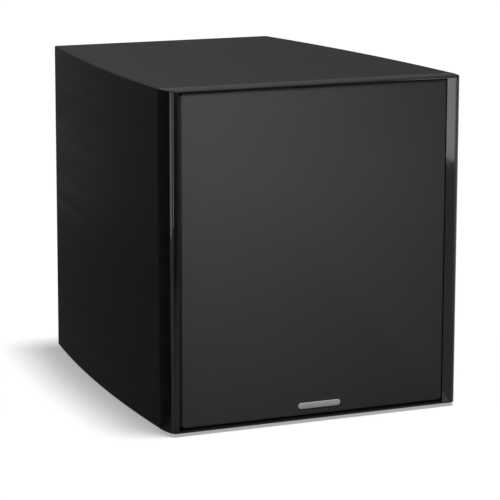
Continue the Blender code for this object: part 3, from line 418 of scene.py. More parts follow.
def taped(at):
    """Yellow tape wound round a ring: overlapping turns, fanned about the ring's axis."""
    s = Shader("winding_wrap")
    place = s.axes()
    angle = s.maths("ARCTAN2", s.maths("SUBTRACT", place[2], at.z), s.maths("SUBTRACT", place[0], at.x))
    turns = s.maths("FRACT", s.maths("MULTIPLY", angle, 9.0))
    film = s.noise(90.0, 3.0)
    return s.set(
        # Each turn runs from dark at its low edge to light at its raised edge: painted shade on the steps of
        # the overlapping turns.
        colour=s.blend(s.spread(turns, 0.0, 1.0, 0.0, 1.0), (0.42, 0.31, 0.035), (0.66, 0.52, 0.08)),
        rough=s.spread(film, 0.22, 0.42),
        normal=s.relief(turns, 0.0002),
    )


def foam():
    s = Shader("foam")
    cells = s.cells(1300.0)
    return s.set(
        # Pores are darker than the cell walls between them: painted shade in the hollows.
        colour=s.blend(s.spread(cells, 0.0, 1.0, 0.1, 0.7), (0.010, 0.010, 0.010), (0.035, 0.035, 0.035)),
        rough=0.95,
        normal=s.relief(cells, 0.0002),
        specular=0.1,
    )


def lamp():
    """Tinted lens of the status lamp, faintly lit."""
    s = Shader("lamp_lens")
    cloud = s.noise(500.0, 2.0)
    return s.set(
        colour=s.blend(s.spread(cloud, 0.0, 1.0), (0.02, 0.20, 0.28), (0.05, 0.30, 0.40)),
        rough=s.spread(cloud, 0.10, 0.2),
        glow=(0.10, 0.55, 0.80),
        glow_strength=0.25,
    )


def make_finishes():
    """Every finish by its name, without the number it gets where a packed material has the same name."""
    transformer = (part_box("ring_transformer")[0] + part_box("ring_transformer")[1]) / 2
    made = (
        veneer("black_veneer", 0),
        veneer("end_veneer", 2),
        gloss_black(),
        woven("grille_cloth", (0.055, 0.055, 0.056), 0.00115),
        speckled("black_plastic", (0.014, 0.014, 0.0145), 0.42, grain=1500.0),
        speckled("soft_plastic", (0.010, 0.010, 0.0105), 0.58, grain=2200.0),
        rubber(),
        rubber("surround_rubber", (0.010, 0.010, 0.010), 0.50),
        foam(),
        speckled(
            "cast_aluminium", (0.022, 0.022, 0.023), 0.48, grain=1300.0, relief=0.00016, contrast=0.35
        ),
        pulp(),
        woven("spider_cloth", (0.50, 0.36, 0.13), 0.0011, rough=0.85, sheen=0.0),
        turned("copper", (0.62, 0.26, 0.12), 0.32, 0.0006, relief=0.00015),
        speckled("ferrite", (0.035, 0.033, 0.031), 0.66, grain=700.0, relief=0.0001),
        turned("zinc_steel", (0.52, 0.52, 0.50), 0.30, 0.0009),
        brushed("nickel", (0.60, 0.58, 0.54), 0.22, 1),
        speckled("black_steel", (0.018, 0.018, 0.019), 0.36, 0.6, 1800.0),
        speckled("anodised_plate", (0.020, 0.020, 0.0215), 0.42, 0.5, 2600.0),
        brushed("heat_sink", (0.022, 0.022, 0.023), 0.40, 2, 1800.0, 0.5),
        brushed("badge_metal", (0.55, 0.55, 0.56), 0.42, 0, 3000.0, 0.35),
        circuit(),
        taped(transformer),
        speckled("cable_jacket", (0.012, 0.012, 0.012), 0.50, grain=1600.0),
        board("raw_board", (0.27, 0.18, 0.10), 0.25),
        board("black_board", (0.014, 0.014, 0.014), 0.35),
        lamp(),
        speckled("print_white", (0.55, 0.55, 0.54), 0.60, grain=3000.0, contrast=0.08),
        speckled("jack_red", (0.45, 0.020, 0.018), 0.40, grain=1500.0),
        speckled("jack_white", (0.62, 0.61, 0.58), 0.42, grain=1500.0),
    )
    return {material.name.partition(".")[0]: material for material in made}


# ---- mesh helpers


def make_piece(name, bm, finish, body, replaces=(), slot=None, sharp=35.0):
    """Turns a bmesh into a smooth-shaded piece with a finish, riding on a CAD body."""
    bmesh.ops.recalc_face_normals(bm, faces=bm.faces)
    mesh = bpy.data.meshes.new(name)
    bm.to_mesh(mesh)
    bm.free()
    mesh.shade_smooth()
    mesh.set_sharp_from_angle(angle=math.radians(sharp))
    mesh.materials.append(FINISHES[finish])
    piece = bpy.data.objects.new(name, mesh)
    bpy.context.scene.collection.objects.link(piece)
    if body:
        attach(piece, body)
    if replaces:
        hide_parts(*replaces)
    return piece


def soften(piece, width, segments=2, angle=30.0):
    """Rounds a piece's sharp edges and keeps its flat faces flat."""
    bevel = piece.modifiers.new("edges", "BEVEL")
    bevel.width = width
    bevel.segments = segments
    bevel.limit_method = "ANGLE"
    bevel.angle_limit = math.radians(angle)
    bevel.harden_normals = True


def add_span(bm, low, high):
    low, high = Vector(low), Vector(high)
    scale = Matrix.Diagonal((*(high - low), 1.0))
    bmesh.ops.create_cube(bm, size=1.0, matrix=Matrix.Translation((low + high) / 2) @ scale)
    return bm


def add_prism(bm, outline, low, high, axis):
    """An outline of (u, v) points pushed along axis: (x, y) along Z, (x, z) along Y, (y, z) along X."""
    third = {"X": 0, "Y": 1, "Z": 2}[axis]
    rings = []
    for w in (low, high):
        rings.append([(*point[:third], w, *point[third:]) for point in outline])
    return loft(bm, rings)


def add_lathe(bm, profile, x, z, segments=SEGMENTS, shape=None):
    """A profile of (radius, y) points turned about the depth axis through (x, z).

    A profile that touches radius 0 at both ends is a solid, and any other is closed into a ring. shape, if
    given, changes each point's radius: it takes (radius, y, angle) and returns a radius.
    """
    rows = []
    for radius, y in profile:
        if radius == 0:
            rows.append([bm.verts.new((x, y, z))])
            continue
        row = []
        for i in range(segments):
            angle = 2 * math.pi * i / segments
            r = shape(radius, y, angle) if shape else radius
            row.append(bm.verts.new((x + r * math.cos(angle), y, z + r * math.sin(angle))))
        rows.append(row)
    pairs = list(zip(rows, rows[1:]))
    if len(rows[0]) > 1:
        pairs.append((rows[-1], rows[0]))
    for first, second in pairs:
        for i in range(segments):
            j = (i + 1) % segments
            corners = [row[k % len(row)] for row, k in ((first, i), (first, j), (second, j), (second, i))]
            face = list(dict.fromkeys(corners))
            if len(face) > 2:
                bm.faces.new(face)
    return bm


def bridge(bm, first, second):
    """Joins two closed rows of vertices with faces."""
    count = len(first)
    for i in range(count):
        j = (i + 1) % count
        bm.faces.new((first[i], first[j], second[j], second[i]))


def loft(bm, rings, closed=False):
    """Joins closed rings of points in order. The ends are capped, or joined to each other if closed."""
    rows = [[bm.verts.new(point) for point in ring] for ring in rings]
    for first, second in zip(rows, rows[1:]):
        bridge(bm, first, second)
    if closed:
        bridge(bm, rows[-1], rows[0])
    else:
        bm.faces.new(rows[0])
        bm.faces.new(rows[-1])
    return bm


def spin_piece(name, profile, finish, body, replaces=(), axis=AXIS, segments=SEGMENTS, **settings):
    """A lathed piece about an axis through (x, z)."""
    solid = add_lathe(bmesh.new(), profile, *axis, segments)
    return make_piece(name, solid, finish, body, replaces, **settings)


def mirrored(points):
    """The same points on the left side, in the opposite order."""
    return [(-x, other) for x, other in reversed(points)]


def quarter_turn(steps):
    return [math.pi / 2 * i / steps for i in range(steps + 1)]


def axis_of(node):
    """x and z of the middle of a node's box."""
    low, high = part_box(node)
    return (low.x + high.x) / 2, (low.z + high.z) / 2


def rounded_rectangle(half_width, half_height, radius, steps=6, centre=(0.0, 0.0)):
    points = []
    for quarter in range(4):
        start = quarter * math.pi / 2
        middle = start + math.pi / 4
        cx = centre[0] + math.copysign(half_width - radius, math.cos(middle))
        cz = centre[1] + math.copysign(half_height - radius, math.sin(middle))
        for step in range(steps + 1):
            angle = start + step / steps * math.pi / 2
            points.append((cx + radius * math.cos(angle), cz + radius * math.sin(angle)))
    return points


def arc(centre, radius, start, end, steps):
    angles = [math.radians(start + (end - start) * i / steps) for i in range(steps + 1)]
    return [(centre[0] + radius * math.cos(a), centre[1] + radius * math.sin(a)) for a in angles]


def cut(piece, bm):
    """Cuts a shape from a piece, and applies the result to the mesh."""
    mesh = bpy.data.meshes.new("tool")
    bmesh.ops.recalc_face_normals(bm, faces=bm.faces)
    bm.to_mesh(mesh)
    bm.free()
    tool = bpy.data.objects.new("tool", mesh)
    bpy.context.scene.collection.objects.link(tool)
    modifier = piece.modifiers.new("tool", "BOOLEAN")
    modifier.operation = "DIFFERENCE"
    modifier.solver = "EXACT"
    modifier.object = tool
    bpy.context.view_layer.update()
    evaluated = piece.evaluated_get(bpy.context.evaluated_depsgraph_get())
    result = bpy.data.meshes.new_from_object(evaluated)
    piece.modifiers.remove(modifier)
    piece.data = result
    bpy.data.objects.remove(tool)


# ---- cabinet


def half_width(y, inset=0.0):
    """Half the cabinet's width at y: an arc that leaves the bezel straight and narrows to the back."""
    length = BACK - BEZEL_BACK
    sagitta = HALF_WIDTH - BACK_HALF_WIDTH
    radius = (length**2 + sagitta**2) / (2 * sagitta)
    return HALF_WIDTH - radius + math.sqrt((radius - inset) ** 2 - (y - BEZEL_BACK) ** 2)


def stations(count=48):
    front = BEZEL_BACK + GAP
    return [front + (BACK - front) * i / count for i in range(count + 1)]


def panel_section(y, kind):
    """Closed section of a panel across the cabinet at y, with mitred corners and rounded outer edges."""
    outer, inner = half_width(y), half_width(y, WALL)

    def edge(level, sign, start):
        """Half of a rounded outer edge: 45 degrees from start."""
        turns = [math.radians(start + 15 * i) for i in range(4)]
        x, z = outer - EDGE, level - sign * EDGE
        return [(x + EDGE * math.cos(t), z + sign * EDGE * math.sin(t)) for t in turns]

    if kind == "side":
        points = list(reversed(edge(BASE, -1, 0))) + edge(TOP, 1, 0)
        return points + [(inner, TOP - PANEL), (inner, BASE + PANEL)]
    sign, level, face = (1, TOP, TOP - PANEL) if kind == "top" else (-1, BASE, BASE + PANEL)
    right = [(inner, face)] + edge(level, sign, 45)
    return right + mirrored(right)


def build_panels():
    for name, kind, side in (
        ("left_side_panel", "side", -1),
        ("right_side_panel", "side", 1),
        ("top_panel", "top", 1),
        ("bottom_panel", "bottom", 1),
    ):
        rings = [[(side * x, y, z) for x, z in panel_section(y, kind)] for y in stations()]
        finish = "black_veneer" if kind == "side" else "end_veneer"
        panel = loft(bmesh.new(), rings)
        make_piece(f"{name}_veneered", panel, finish, "cabinet", (name,), "black_veneer", 50)


def build_bezel():
    """Gloss frame: rounded pillars, a lip above and below the grille, and softened edges."""
    centre_x = HALF_WIDTH - PILLAR_SWEEP
    depth = BEZEL_BACK - FRONT
    edge = 0.0015

    def plan(inset):
        """Outline of the bezel in plan, pulled in from its front and sides."""
        right = []
        for turn in quarter_turn(28):
            x = centre_x + (PILLAR_SWEEP - inset) * math.sin(turn)
            right.append((x, BEZEL_BACK - (depth - inset) * math.cos(turn)))
        return right + mirrored(right)

    turns = quarter_turn(5)
    low = [(edge * (1 - math.sin(t)), BASE + edge * (1 - math.cos(t))) for t in turns]
    high = [(edge * (1 - math.cos(t)), TOP - edge * (1 - math.sin(t))) for t in turns]
    rings = [[(x, y, z) for x, y in plan(inset)] for inset, z in low + high]
    solid = loft(bmesh.new(), rings)
    bezel = make_piece("front_bezel_lacquered", solid, "gloss_black", "cabinet", ("front_bezel",))
    beyond = 0.02
    mouth = OPENING_HALF + BEVEL_WIDTH * (1 + beyond / BEVEL_DEPTH)
    right = [(mouth, FRONT - beyond), (OPENING_HALF, FRONT + BEVEL_DEPTH)]
    right.append((OPENING_HALF, BEZEL_BACK + beyond))
    cut(bezel, add_prism(bmesh.new(), right + mirrored(right), BASE + LIP, TOP - LIP, "Z"))
    soften(bezel, 0.0006, 3, 40)


def build_feet():
    """Turned rubber feet with a moulded rim and a dished sole."""
    rim, dish, edge, peg = 0.0018, 0.0008, 0.0006, 0.0040
    for name in ("foot_front_left", "foot_front_right", "foot_rear_left", "foot_rear_right"):
        low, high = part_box(name)
        centre = (low + high) / 2
        radius, height, tall = (high.x - low.x) / 2, BASE - GAP - low.z, high.z - low.z
        profile = [(0, dish), (radius * 0.55, dish), (radius * 0.60, 0.0)]
        profile += arc((radius - 0.0032, rim), rim, -90, -20, 5)
        profile += [(radius - 0.0009, height * 0.55), (radius, height * 0.70), (radius, height - dish)]
        profile += [(radius - edge, height), (peg, height), (peg, tall), (0, tall)]
        bm = add_lathe(bmesh.new(), profile, 0.0, 0.0, 64)
        bmesh.ops.rotate(bm, verts=bm.verts, matrix=Matrix.Rotation(math.pi / 2, 3, "X"))
        bmesh.ops.translate(bm, verts=bm.verts, vec=(centre.x, centre.y, low.z))
        make_piece(f"{name}_moulded", bm, "rubber", "cabinet", (name,), sharp=40)


# ---- grille


def build_cloth():
    """Cloth pulled over the frame: rounded edges, and sides that run to the back of the frame."""
    low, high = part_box("grille_cloth")
    half = Vector(((high.x - low.x) / 2, 0, (high.z - low.z) / 2))
    centre = (low + high) / 2
    corner, least_corner, edge, thickness = 0.0042, 0.0008, 0.0018, 0.0008

    def ring(inset, y):
        radius = max(corner - inset, least_corner)
        outline = rounded_rectangle(half.x - inset, half.z - inset, radius, 6, (centre.x, centre.z))
        return [(x, y, z) for x, z in outline]

    bm = bmesh.new()
    skins = []
    for depth in (0.0, thickness):
        bend = edge - depth
        levels = [ring(depth, high.y)]
        for t in quarter_turn(7):
            levels.append(ring(edge - bend * math.cos(t), low.y + edge - bend * math.sin(t)))
        skins.append([[bm.verts.new(point) for point in level] for level in levels])
    for rows in skins:
        for first, second in zip(rows, rows[1:]):
            bridge(bm, first, second)
        bm.faces.new(rows[-1])
    bridge(bm, skins[0][0], skins[1][0])
    make_piece("grille_cloth_stretched", bm, "grille_cloth", "grille", ("grille_cloth",), sharp=60)


def build_sockets():
    """Rubber sleeves for the grille's pegs: a rounded flange, and ribs round a barrel in the baffle."""
    bore, barrel, edge, rib, turns, steps = 0.00435, 0.0082, 0.0004, 0.0004, 4, 32
    start, short = 0.0005, 0.0012
    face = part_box("front_baffle")[0].y - GAP
    for corner in ("top_left", "top_right", "bottom_left", "bottom_right"):
        name = f"grille_socket_{corner}"
        low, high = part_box(name)
        flange = (high.x - low.x) / 2
        profile = [(bore + edge, low.y), (flange - edge, low.y), (flange, low.y + edge)]
        profile += [(flange, face), (barrel - rib, face)]
        for i in range(steps + 1):
            y = face + start + (high.y - face - short) * i / steps
            profile.append((barrel - rib / 2 - rib / 2 * math.cos(2 * math.pi * turns * i / steps), y))
        profile += [(barrel - rib, high.y), (bore, high.y), (bore, low.y + edge)]
        spin_piece(f"{name}_ribbed", profile, "rubber", "cabinet", (name,), axis_of(name), 48, sharp=50)


def build_badge():
    """Plain blank bar, with rounded ends and a crowned face."""
    low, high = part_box("grille_badge")
    centre = (low + high) / 2
    half_x, half_z = (high.x - low.x) / 2, (high.z - low.z) / 2
    thickness, crown, end_flat = high.y - low.y, 0.0007, 0.00005
    rings = []
    for share in (0.0, 0.45, 0.75, 0.92, 1.0):
        inset = crown * (1 - math.sqrt(1 - share**2))
        half = half_z - inset
        outline = rounded_rectangle(half_x - inset, half, half - end_flat, 10, (centre.x, centre.z))
        rings.append([(x, high.y - thickness * share, z) for x, z in outline])
    make_piece("grille_badge_blank", loft(bmesh.new(), rings), "badge_metal", "grille", ("grille_badge",))


# ---- driver


def radial_blend(piece):
    """Bakes a ring's placement into its mesh.
    """
    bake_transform(piece)


def at(profile):
    """Shifts a profile from depths behind the flange's face to the frame's y."""
    return [(radius, FLANGE + depth) for radius, depth in profile]


def turned_piece(name, profile, finish, body, replaces, **settings):
    return spin_piece(name, at(profile), finish, body, replaces, **settings)


def build_surround():
    centre, roll, thickness, inner, outer, seat = 0.1225, 0.011, 0.0012, 0.1060, 0.1410, -GAP
    middle = seat - thickness / 2
    outside = arc((centre, middle), roll + thickness / 2, 0, -180, 20)
    inside = arc((centre, middle), roll - thickness / 2, -180, 0, 20)
    profile = [(outer, seat), (outer, seat - thickness)] + outside
    profile += [(inner, seat - thickness), (inner, seat)] + inside
    finish = "surround_rubber"
    piece = turned_piece("surround_roll", profile, finish, None, ("surround",), sharp=50, slot="rubber")
    radial_blend(piece)


def build_spider():
    low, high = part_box("spider")
    inner, outer, landing, cloth = 0.0268, 0.0875, 0.006, 0.0008
    middle = (low.y + high.y) / 2 - FLANGE - cloth / 2
    wave, folds, steps = 0.0014, 7, 56
    radii = [inner + (outer - landing - inner) * i / steps for i in range(steps + 1)]
    upper = [(r, middle + wave * math.sin(math.pi * folds * i / steps)) for i, r in enumerate(radii)]
    upper.append((outer, middle))
    lower = [(radius, depth + cloth) for radius, depth in reversed(upper)]
    piece = turned_piece("spider_corrugated", upper + lower, "spider_cloth", None, ("spider",), sharp=60)
    radial_blend(piece)


def build_cone():
    edge, neck, deep, thickness, landing, steps = 0.105, 0.0268, 0.042, 0.0018, 0.112, 28
    front = []
    for i in range(steps + 1):
        share = i / steps
        ripple = 0.00018 * math.sin(10 * math.pi * share) * math.sin(math.pi * share)
        front.append((edge + (neck - edge) * share, deep * (1 - (1 - share) ** 1.25) - ripple))
    back = [(radius, depth + thickness) for radius, depth in reversed(front)]
    profile = [(landing, 0.0)] + front + back + [(landing, thickness)]
    turned_piece("cone_pressed", profile, "cone_paper", "cone_assembly", ("cone",), sharp=50)
    radius, base, height, wall = 0.0490, 0.0316, 0.0150, 0.0012
    shares = [i / 20 for i in range(21)]
    dome = [(radius * s, base - height * (1 - s**2)) for s in shares]
    hollow = [(r, depth + wall) for r, depth in reversed(dome)]
    turned_piece("dust_cap_domed", dome + hollow, "cone_paper", "cone_assembly", ("dust_cap",), sharp=50)


def build_basket():
    """Basket with windows between six spokes, and the trim ring over its flange."""
    throat, rim, flange_radius, flange, edge = 0.134, 0.1405, 0.155, 0.006, 0.0012
    shelf, shelf_depth, seat_front, seat_back, seat_hole = 0.081, 0.052, 0.072, 0.078, 0.034
    window_radii, window_span, window_depths = (0.130, 0.096), math.radians(36), (0.013, 0.075)
    profile = [(flange_radius - edge, 0), (flange_radius, edge), (flange_radius, flange), (rim, flange)]
    profile += [(rim, 0.014), (0.093, 0.060), (0.086, seat_back), (seat_hole, seat_back)]
    profile += [(seat_hole, seat_front), (shelf, seat_front), (shelf, shelf_depth), (0.088, shelf_depth)]
    profile += [(throat, 0.008), (throat, 0)]
    basket = turned_piece("driver_basket_cast", profile, "cast_aluminium", "cabinet", ("driver_basket",))
    tools = bmesh.new()
    for i in range(6):
        middle = math.radians(60 * i)
        outline = []
        for r, order in zip(window_radii, (1, -1)):
            span = [middle + window_span * (k / 8 - 0.5) for k in range(9)]
            outline += [(DRIVER.x + r * math.cos(a), DRIVER.z + r * math.sin(a)) for a in span[::order]]
        add_prism(tools, outline, *(FLANGE + depth for depth in window_depths), "Y")
    hole, front, back = 0.0030, FLANGE - 0.01, FLANGE + 0.02
    drill = [(0, front), (hole, front), (hole, back), (0, back)]
    for i in range(6):
        add_lathe(tools, drill, *axis_of(f"driver_screw_{i + 1}"), 24)
    cut(basket, tools)
    basket.data.set_sharp_from_angle(angle=math.radians(35))
    seat = -GAP - 0.0012 - GAP
    inner, outer, height, corner = 0.1348, 0.1425, 0.0027, 0.0013
    top = seat - height + corner
    rounded = arc((inner + corner, top), corner, 180, 270, 5) + arc((outer - corner, top), corner, -90, 0, 5)
    profile = [(inner, seat)] + rounded + [(outer, seat)]
    turned_piece("driver_trim_moulded", profile, "rubber", "cabinet", ("driver_trim_ring",))


def build_motor():
    for name, inner, outer, chamfer, finish in (
        ("magnet_front_plate", 0.0277, 0.072, 0.0010, "zinc_steel"),
        ("magnet_ring", 0.036, 0.078, 0.0015, "ferrite"),
    ):
        low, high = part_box(name)
        profile = [(inner, low.y), (outer - chamfer, low.y), (outer, low.y + chamfer)]
        profile += [(outer, high.y - chamfer), (outer - chamfer, high.y), (inner, high.y)]
        spin_piece(f"{name}_machined", profile, finish, "cabinet", (name,))
    low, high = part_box("magnet_yoke")
    plate_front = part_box("magnet_ring")[1].y + GAP
    vent, pole, outer, chamfer = 0.008, 0.0247, 0.072, 0.0015
    profile = [(vent, low.y), (pole - chamfer, low.y), (pole, low.y + chamfer), (pole, plate_front)]
    profile += [(outer, plate_front), (outer, high.y - chamfer), (outer - chamfer, high.y), (vent, high.y)]
    spin_piece("magnet_yoke_machined", profile, "zinc_steel", "cabinet", ("magnet_yoke",))
    inner, tube, winding, start, end = 0.0255, 0.0264, 0.0269, 0.0400, 0.1040
    profile = [(inner, start), (tube, start), (tube, 0.0660), (winding, 0.0662), (winding, end), (inner, end)]
    turned_piece("voice_coil_wound", profile, "copper", "cone_assembly", ("voice_coil",))
    low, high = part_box("driver_gasket")
    inner, outer = 0.1430, 0.155
    profile = [(inner, low.y), (outer, low.y), (outer, high.y), (inner, high.y)]
    spin_piece("driver_gasket_die_cut", profile, "foam", "cabinet", ("driver_gasket",))


def build_screw(node, head, shank, facing, recess):
    """Screw with a domed head and a cross or hex recess. facing is -1 for a head at the front, else 1."""
    low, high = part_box(node)
    x, z = axis_of(node)
    face, tip = (low.y, high.y) if facing < 0 else (high.y, low.y)
    tall, crown = (0.005, 0.0006) if facing < 0 else (0.0028, 0.0015)
    point, socket, hexagon, arm, slot = 0.002, 0.002, 0.0025, 0.0021, 0.00045
    under = face - facing * tall
    dome = [(head * math.sin(t), face - facing * crown * (1 - math.cos(t))) for t in quarter_turn(6)]
    profile = dome + [(head, under), (shank, under), (shank, tip + facing * point), (0, tip)]
    screw = spin_piece(f"{node}_turned", profile, "black_steel", "cabinet", (node,), (x, z), 32)
    if recess == "hex":
        corners = [math.pi / 3 * i for i in range(6)]
        outline = [(hexagon * math.cos(t), hexagon * math.sin(t)) for t in corners]
    else:
        outline = [(slot, slot), (slot, arm), (-slot, arm), (-slot, slot), (-arm, slot), (-arm, -slot)]
        outline += [(-u, -v) for u, v in outline]
    span = sorted((face + facing * socket, face - facing * socket))
    cut(screw, add_prism(bmesh.new(), [(x + u, z + v) for u, v in outline], *span, "Y"))
    screw.data.set_sharp_from_angle(angle=math.radians(35))


# ---- amplifier


def build_plate_gasket():
    """Foam frame under the plate, squeezed so that its inner and outer edges bulge."""
    low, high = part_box("amp_gasket")
    half_x, half_z = (high.x - low.x) / 2, (high.z - low.z) / 2
    border_x, border_z = half_x - 0.1065, half_z - 0.1365
    bulge, corner, steps = 0.0004, 0.006, 8
    thickness = high.y - low.y
    rings = []
    for side in (0, 1):
        for i in range(steps + 1):
            swell = bulge * (1 - math.sin(math.pi * (i / steps)))
            y = (low.y if side == 0 else high.y) + (1 - 2 * side) * thickness * i / steps
            inset_x, inset_z = (swell, swell) if side == 0 else (border_x - swell, border_z - swell)
            outline = rounded_rectangle(half_x - inset_x, half_z - inset_z, corner, 6, axis_of("amp_gasket"))
            rings.append([(x, y, z) for x, z in outline])
    foam_frame = loft(bmesh.new(), rings, closed=True)
    make_piece("amp_gasket_foam", foam_frame, "foam", "cabinet", ("amp_gasket",), sharp=60)


def build_knobs():
    """Fluted knobs with a white pointer line, and a printed scale of plain ticks round each."""
    marks = bmesh.new()
    flutes, flute_depth, pin = 18, 0.00035, 0.003
    ticks, first, step, inner, print_lift = 11, -60, 30, 0.0118, 0.00006
    for node in ("level_knob", "crossover_knob", "phase_knob"):
        low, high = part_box(node)
        x, z = axis_of(node)
        radius = (high.x - low.x) / 2
        front, tip = PLATE_FACE + GAP, high.y
        waist = radius - 0.0022

        def fluted(r, y, angle):
            grip = front + 0.0045 < y < tip - 0.0004
            return r - flute_depth * (0.5 - 0.5 * math.cos(flutes * angle)) if grip else r

        profile = [(0, low.y), (pin, low.y), (pin, front), (radius - 0.0006, front), (radius, front + 0.0006)]
        profile += [(radius, front + 0.0028), (waist + 0.0003, front + 0.0042), (waist, front + 0.0052)]
        profile += [(waist - 0.0002, front + 0.0095), (waist - 0.0004, tip - 0.0012)]
        profile += [(waist - 0.0010, tip - 0.0002), (waist - 0.0018, tip), (0, tip)]
        bm = add_lathe(bmesh.new(), profile, x, z, 144, fluted)
        make_piece(f"{node}_moulded", bm, "soft_plastic", node, (node,), "black_plastic", 40)
        line_low = (x - 0.0005, tip - 0.0004, z + 0.0010)
        line = add_span(bmesh.new(), line_low, (x + 0.0005, tip + print_lift, z + 0.0052))
        make_piece(f"{node}_pointer", line, "print_white", node, slot="black_plastic")
        for i in range(ticks):
            outer, half = (0.0148, 0.00035) if i % 5 == 0 else (0.0136, 0.00022)
            place = Matrix.Translation((x, PLATE_FACE + print_lift, z))
            turn = Matrix.Rotation(-math.radians(first + step * i), 4, "Y")
            reach = Matrix.Translation(((inner + outer) / 2, 0, 0))
            scale = Matrix.Diagonal((outer - inner, 2 * print_lift, 2 * half, 1.0))
            bmesh.ops.create_cube(marks, size=1.0, matrix=place @ turn @ reach @ scale)
    make_piece("knob_scales", marks, "print_white", "cabinet", slot="anodised_plate")


def build_jacks():
    """Line jacks: a moulded block inside, and four plated sleeves with coloured inserts and collars."""
    low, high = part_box("line_jack_block")
    middle = (low + high) / 2
    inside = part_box("amp_plate")[0].y - GAP
    block = add_span(bmesh.new(), low, (high.x, inside, high.z))
    soften(make_piece("line_jack_housing", block, "black_plastic", "cabinet", ("line_jack_block",)), 0.0008)
    face, end, spacing_x, spacing_z = PLATE_FACE, high.y, 0.010, 0.009
    sleeve = [(0.0036, inside), (0.0042, inside), (0.0042, end - 0.0006), (0.0038, end), (0.0033, end)]
    sleeve += [(0.0033, face + 0.0015)]
    insert = [(0.0017, face - 0.002), (0.0032, face - 0.002), (0.0032, end - 0.0012), (0.0017, end - 0.0010)]
    collar = [(0.0044, face + 0.0001), (0.0064, face + 0.0001), (0.0064, face + 0.0010)]
    collar += [(0.0060, face + 0.0014), (0.0044, face + 0.0014)]
    for i, (across, up) in enumerate(((-1, 1), (1, 1), (-1, -1), (1, -1))):
        axis = (middle.x + across * spacing_x, middle.z + up * spacing_z)
        colour = "jack_red" if across > 0 else "jack_white"
        for part, profile, finish, slot in (
            ("sleeve", sleeve, "nickel", "zinc_steel"),
            ("insert", insert, colour, "black_plastic"),
            ("collar", collar, "nickel", "zinc_steel"),
        ):
            spin_piece(f"jack_{part}_{i + 1}", profile, finish, "cabinet", axis=axis, segments=48, slot=slot)


def build_inlet_pins():
    x, z = axis_of("mains_inlet")
    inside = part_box("amp_plate")[0].y
    half_x, half_z, front, back = 0.00108, 0.00208, inside - 0.0120, inside + 0.00105
    for i, (across, up) in enumerate(((-0.007, -0.007), (0.0, -0.003), (0.007, -0.007))):
        low = (x + across - half_x, front, z + up - half_z)
        pin = add_span(bmesh.new(), low, (x + across + half_x, back, z + up + half_z))
        soften(make_piece(f"inlet_pin_{i + 1}", pin, "nickel", "cabinet", slot="zinc_steel"), 0.0004, 3)


def build_lamp_lens():
    """Domed lens of the status lamp, level with the knobs."""
    radius, sunk, back = 0.0025, 0.0004, PLATE_FACE - 0.0025
    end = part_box("control_board")[1].y - sunk
    dome = [(radius * math.cos(t), end + 0.0014 * math.sin(t)) for t in quarter_turn(8)]
    dome[-1] = (0, dome[-1][1])
    axis = (PLATE_LAMP_X, axis_of("level_knob")[1])
    profile = [(0, back), (radius, back)] + dome
    slot = "circuit_board"
    spin_piece("status_lamp_lens", profile, "lamp_lens", "cabinet", axis=axis, segments=40, slot=slot)


def build_transformer():
    low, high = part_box("ring_transformer")
    centre = (low + high) / 2
    outer, inner, bulge = (high.x - low.x) / 2, 0.013, 0.007
    middle = ((outer + inner) / 2, centre.y)
    ring = rounded_rectangle((outer - inner) / 2, (high.y - low.y) / 2, bulge, 6, middle)
    axis = (centre.x, centre.z)
    name = "ring_transformer"
    spin_piece(f"{name}_taped", ring, "winding_wrap", "cabinet", (name,), axis, 72, sharp=60)


def finish_cad_nodes():
    """Gives each CAD node that is still shown its own procedural finish."""
    by_slot = {entry["node"]: entry["material_slot"] for entry in frame["record"]["subparts"]}
    for name, node in frame["nodes"].items():
        finish = "heat_sink" if name == "heat_sink" else by_slot[name]
        node.data.materials.clear()
        node.data.materials.append(FINISHES[finish])


# ---- stage


def painted_pool_share(s):
    """1 on the floor at the foot of the grille, falling to 0 further out and under the cabinet."""
    shift = s.node("VectorMath", operation="SUBTRACT")
    s.plug(s.place, shift.inputs[0])
    shift.inputs[1].default_value = (0.0, FRONT, 0.0)
    radius = s.node("VectorMath", operation="LENGTH")
    s.plug(shift.outputs[0], radius.inputs[0])
    near = s.spread(radius.outputs["Value"], 1.0, 0.0, *POOL_REACH)
    before = s.spread(s.axes(shift.outputs[0])["Y"], 1.0, 0.0, *POOL_EDGE)
    return s.maths("MULTIPLY", near, before)


def build_floor():
    """Pale floor, at full brightness to the camera.

    The object sees it dimmer than the camera does. Mirror-like surfaces see past it to the studio's walls,
    with a painted pool of light in front of the grille, where the floor glows for mirrors only.
    """
    bm = bmesh.new()
    bmesh.ops.create_grid(bm, x_segments=4, y_segments=4, size=FLOOR_SIZE)
    mesh = bpy.data.meshes.new("floor")
    bm.to_mesh(mesh)
    bm.free()
    floor = bpy.data.objects.new("floor", mesh)
    bpy.context.scene.collection.objects.link(floor)
    s = Shader("floor")
    to_camera = s.ray("Camera")
    s.set(
        colour=s.blend(to_camera, (FLOOR_BOUNCE,) * 3, (FLOOR_TONE,) * 3),
        rough=0.9,
        specular=0.0,
        glow=WHITE,
        glow_strength=s.maths("MULTIPLY", to_camera, FLOOR_GLOW),
    )
    # Painted pool of light: the floor glows in front of the grille, and only reflections see it.
    pool = s.node("Emission")
    pool.inputs["Strength"].default_value = PAINTED_POOL_GLOW
    mirror_view = s.mix(painted_pool_share(s), s.source("BsdfTransparent", "BSDF"), pool.outputs[0])
    surface = s.mix(s.ray("Glossy"), s.bsdf.outputs[0], mirror_view)
    s.plug(surface, s.nodes["Material Output"].inputs["Surface"])
    mesh.materials.append(s.material)
    return floor


def glow_ramp(s, across, stops):
    """Brightness of the walls against the x of a direction, from stops of (x, brightness)."""
    ramp = s.node("ValToRGB")
    s.plug(s.spread(across, 0.0, 1.0, -1.0, 1.0), ramp.inputs["Fac"])
    while len(ramp.color_ramp.elements) < len(stops):
        ramp.color_ramp.elements.new(0.5)
    for element, (x, level) in zip(ramp.color_ramp.elements, stops):
        element.position = (x + 1) / 2
        element.color = (level, level, level, 1.0)
    return ramp.outputs["Color"]


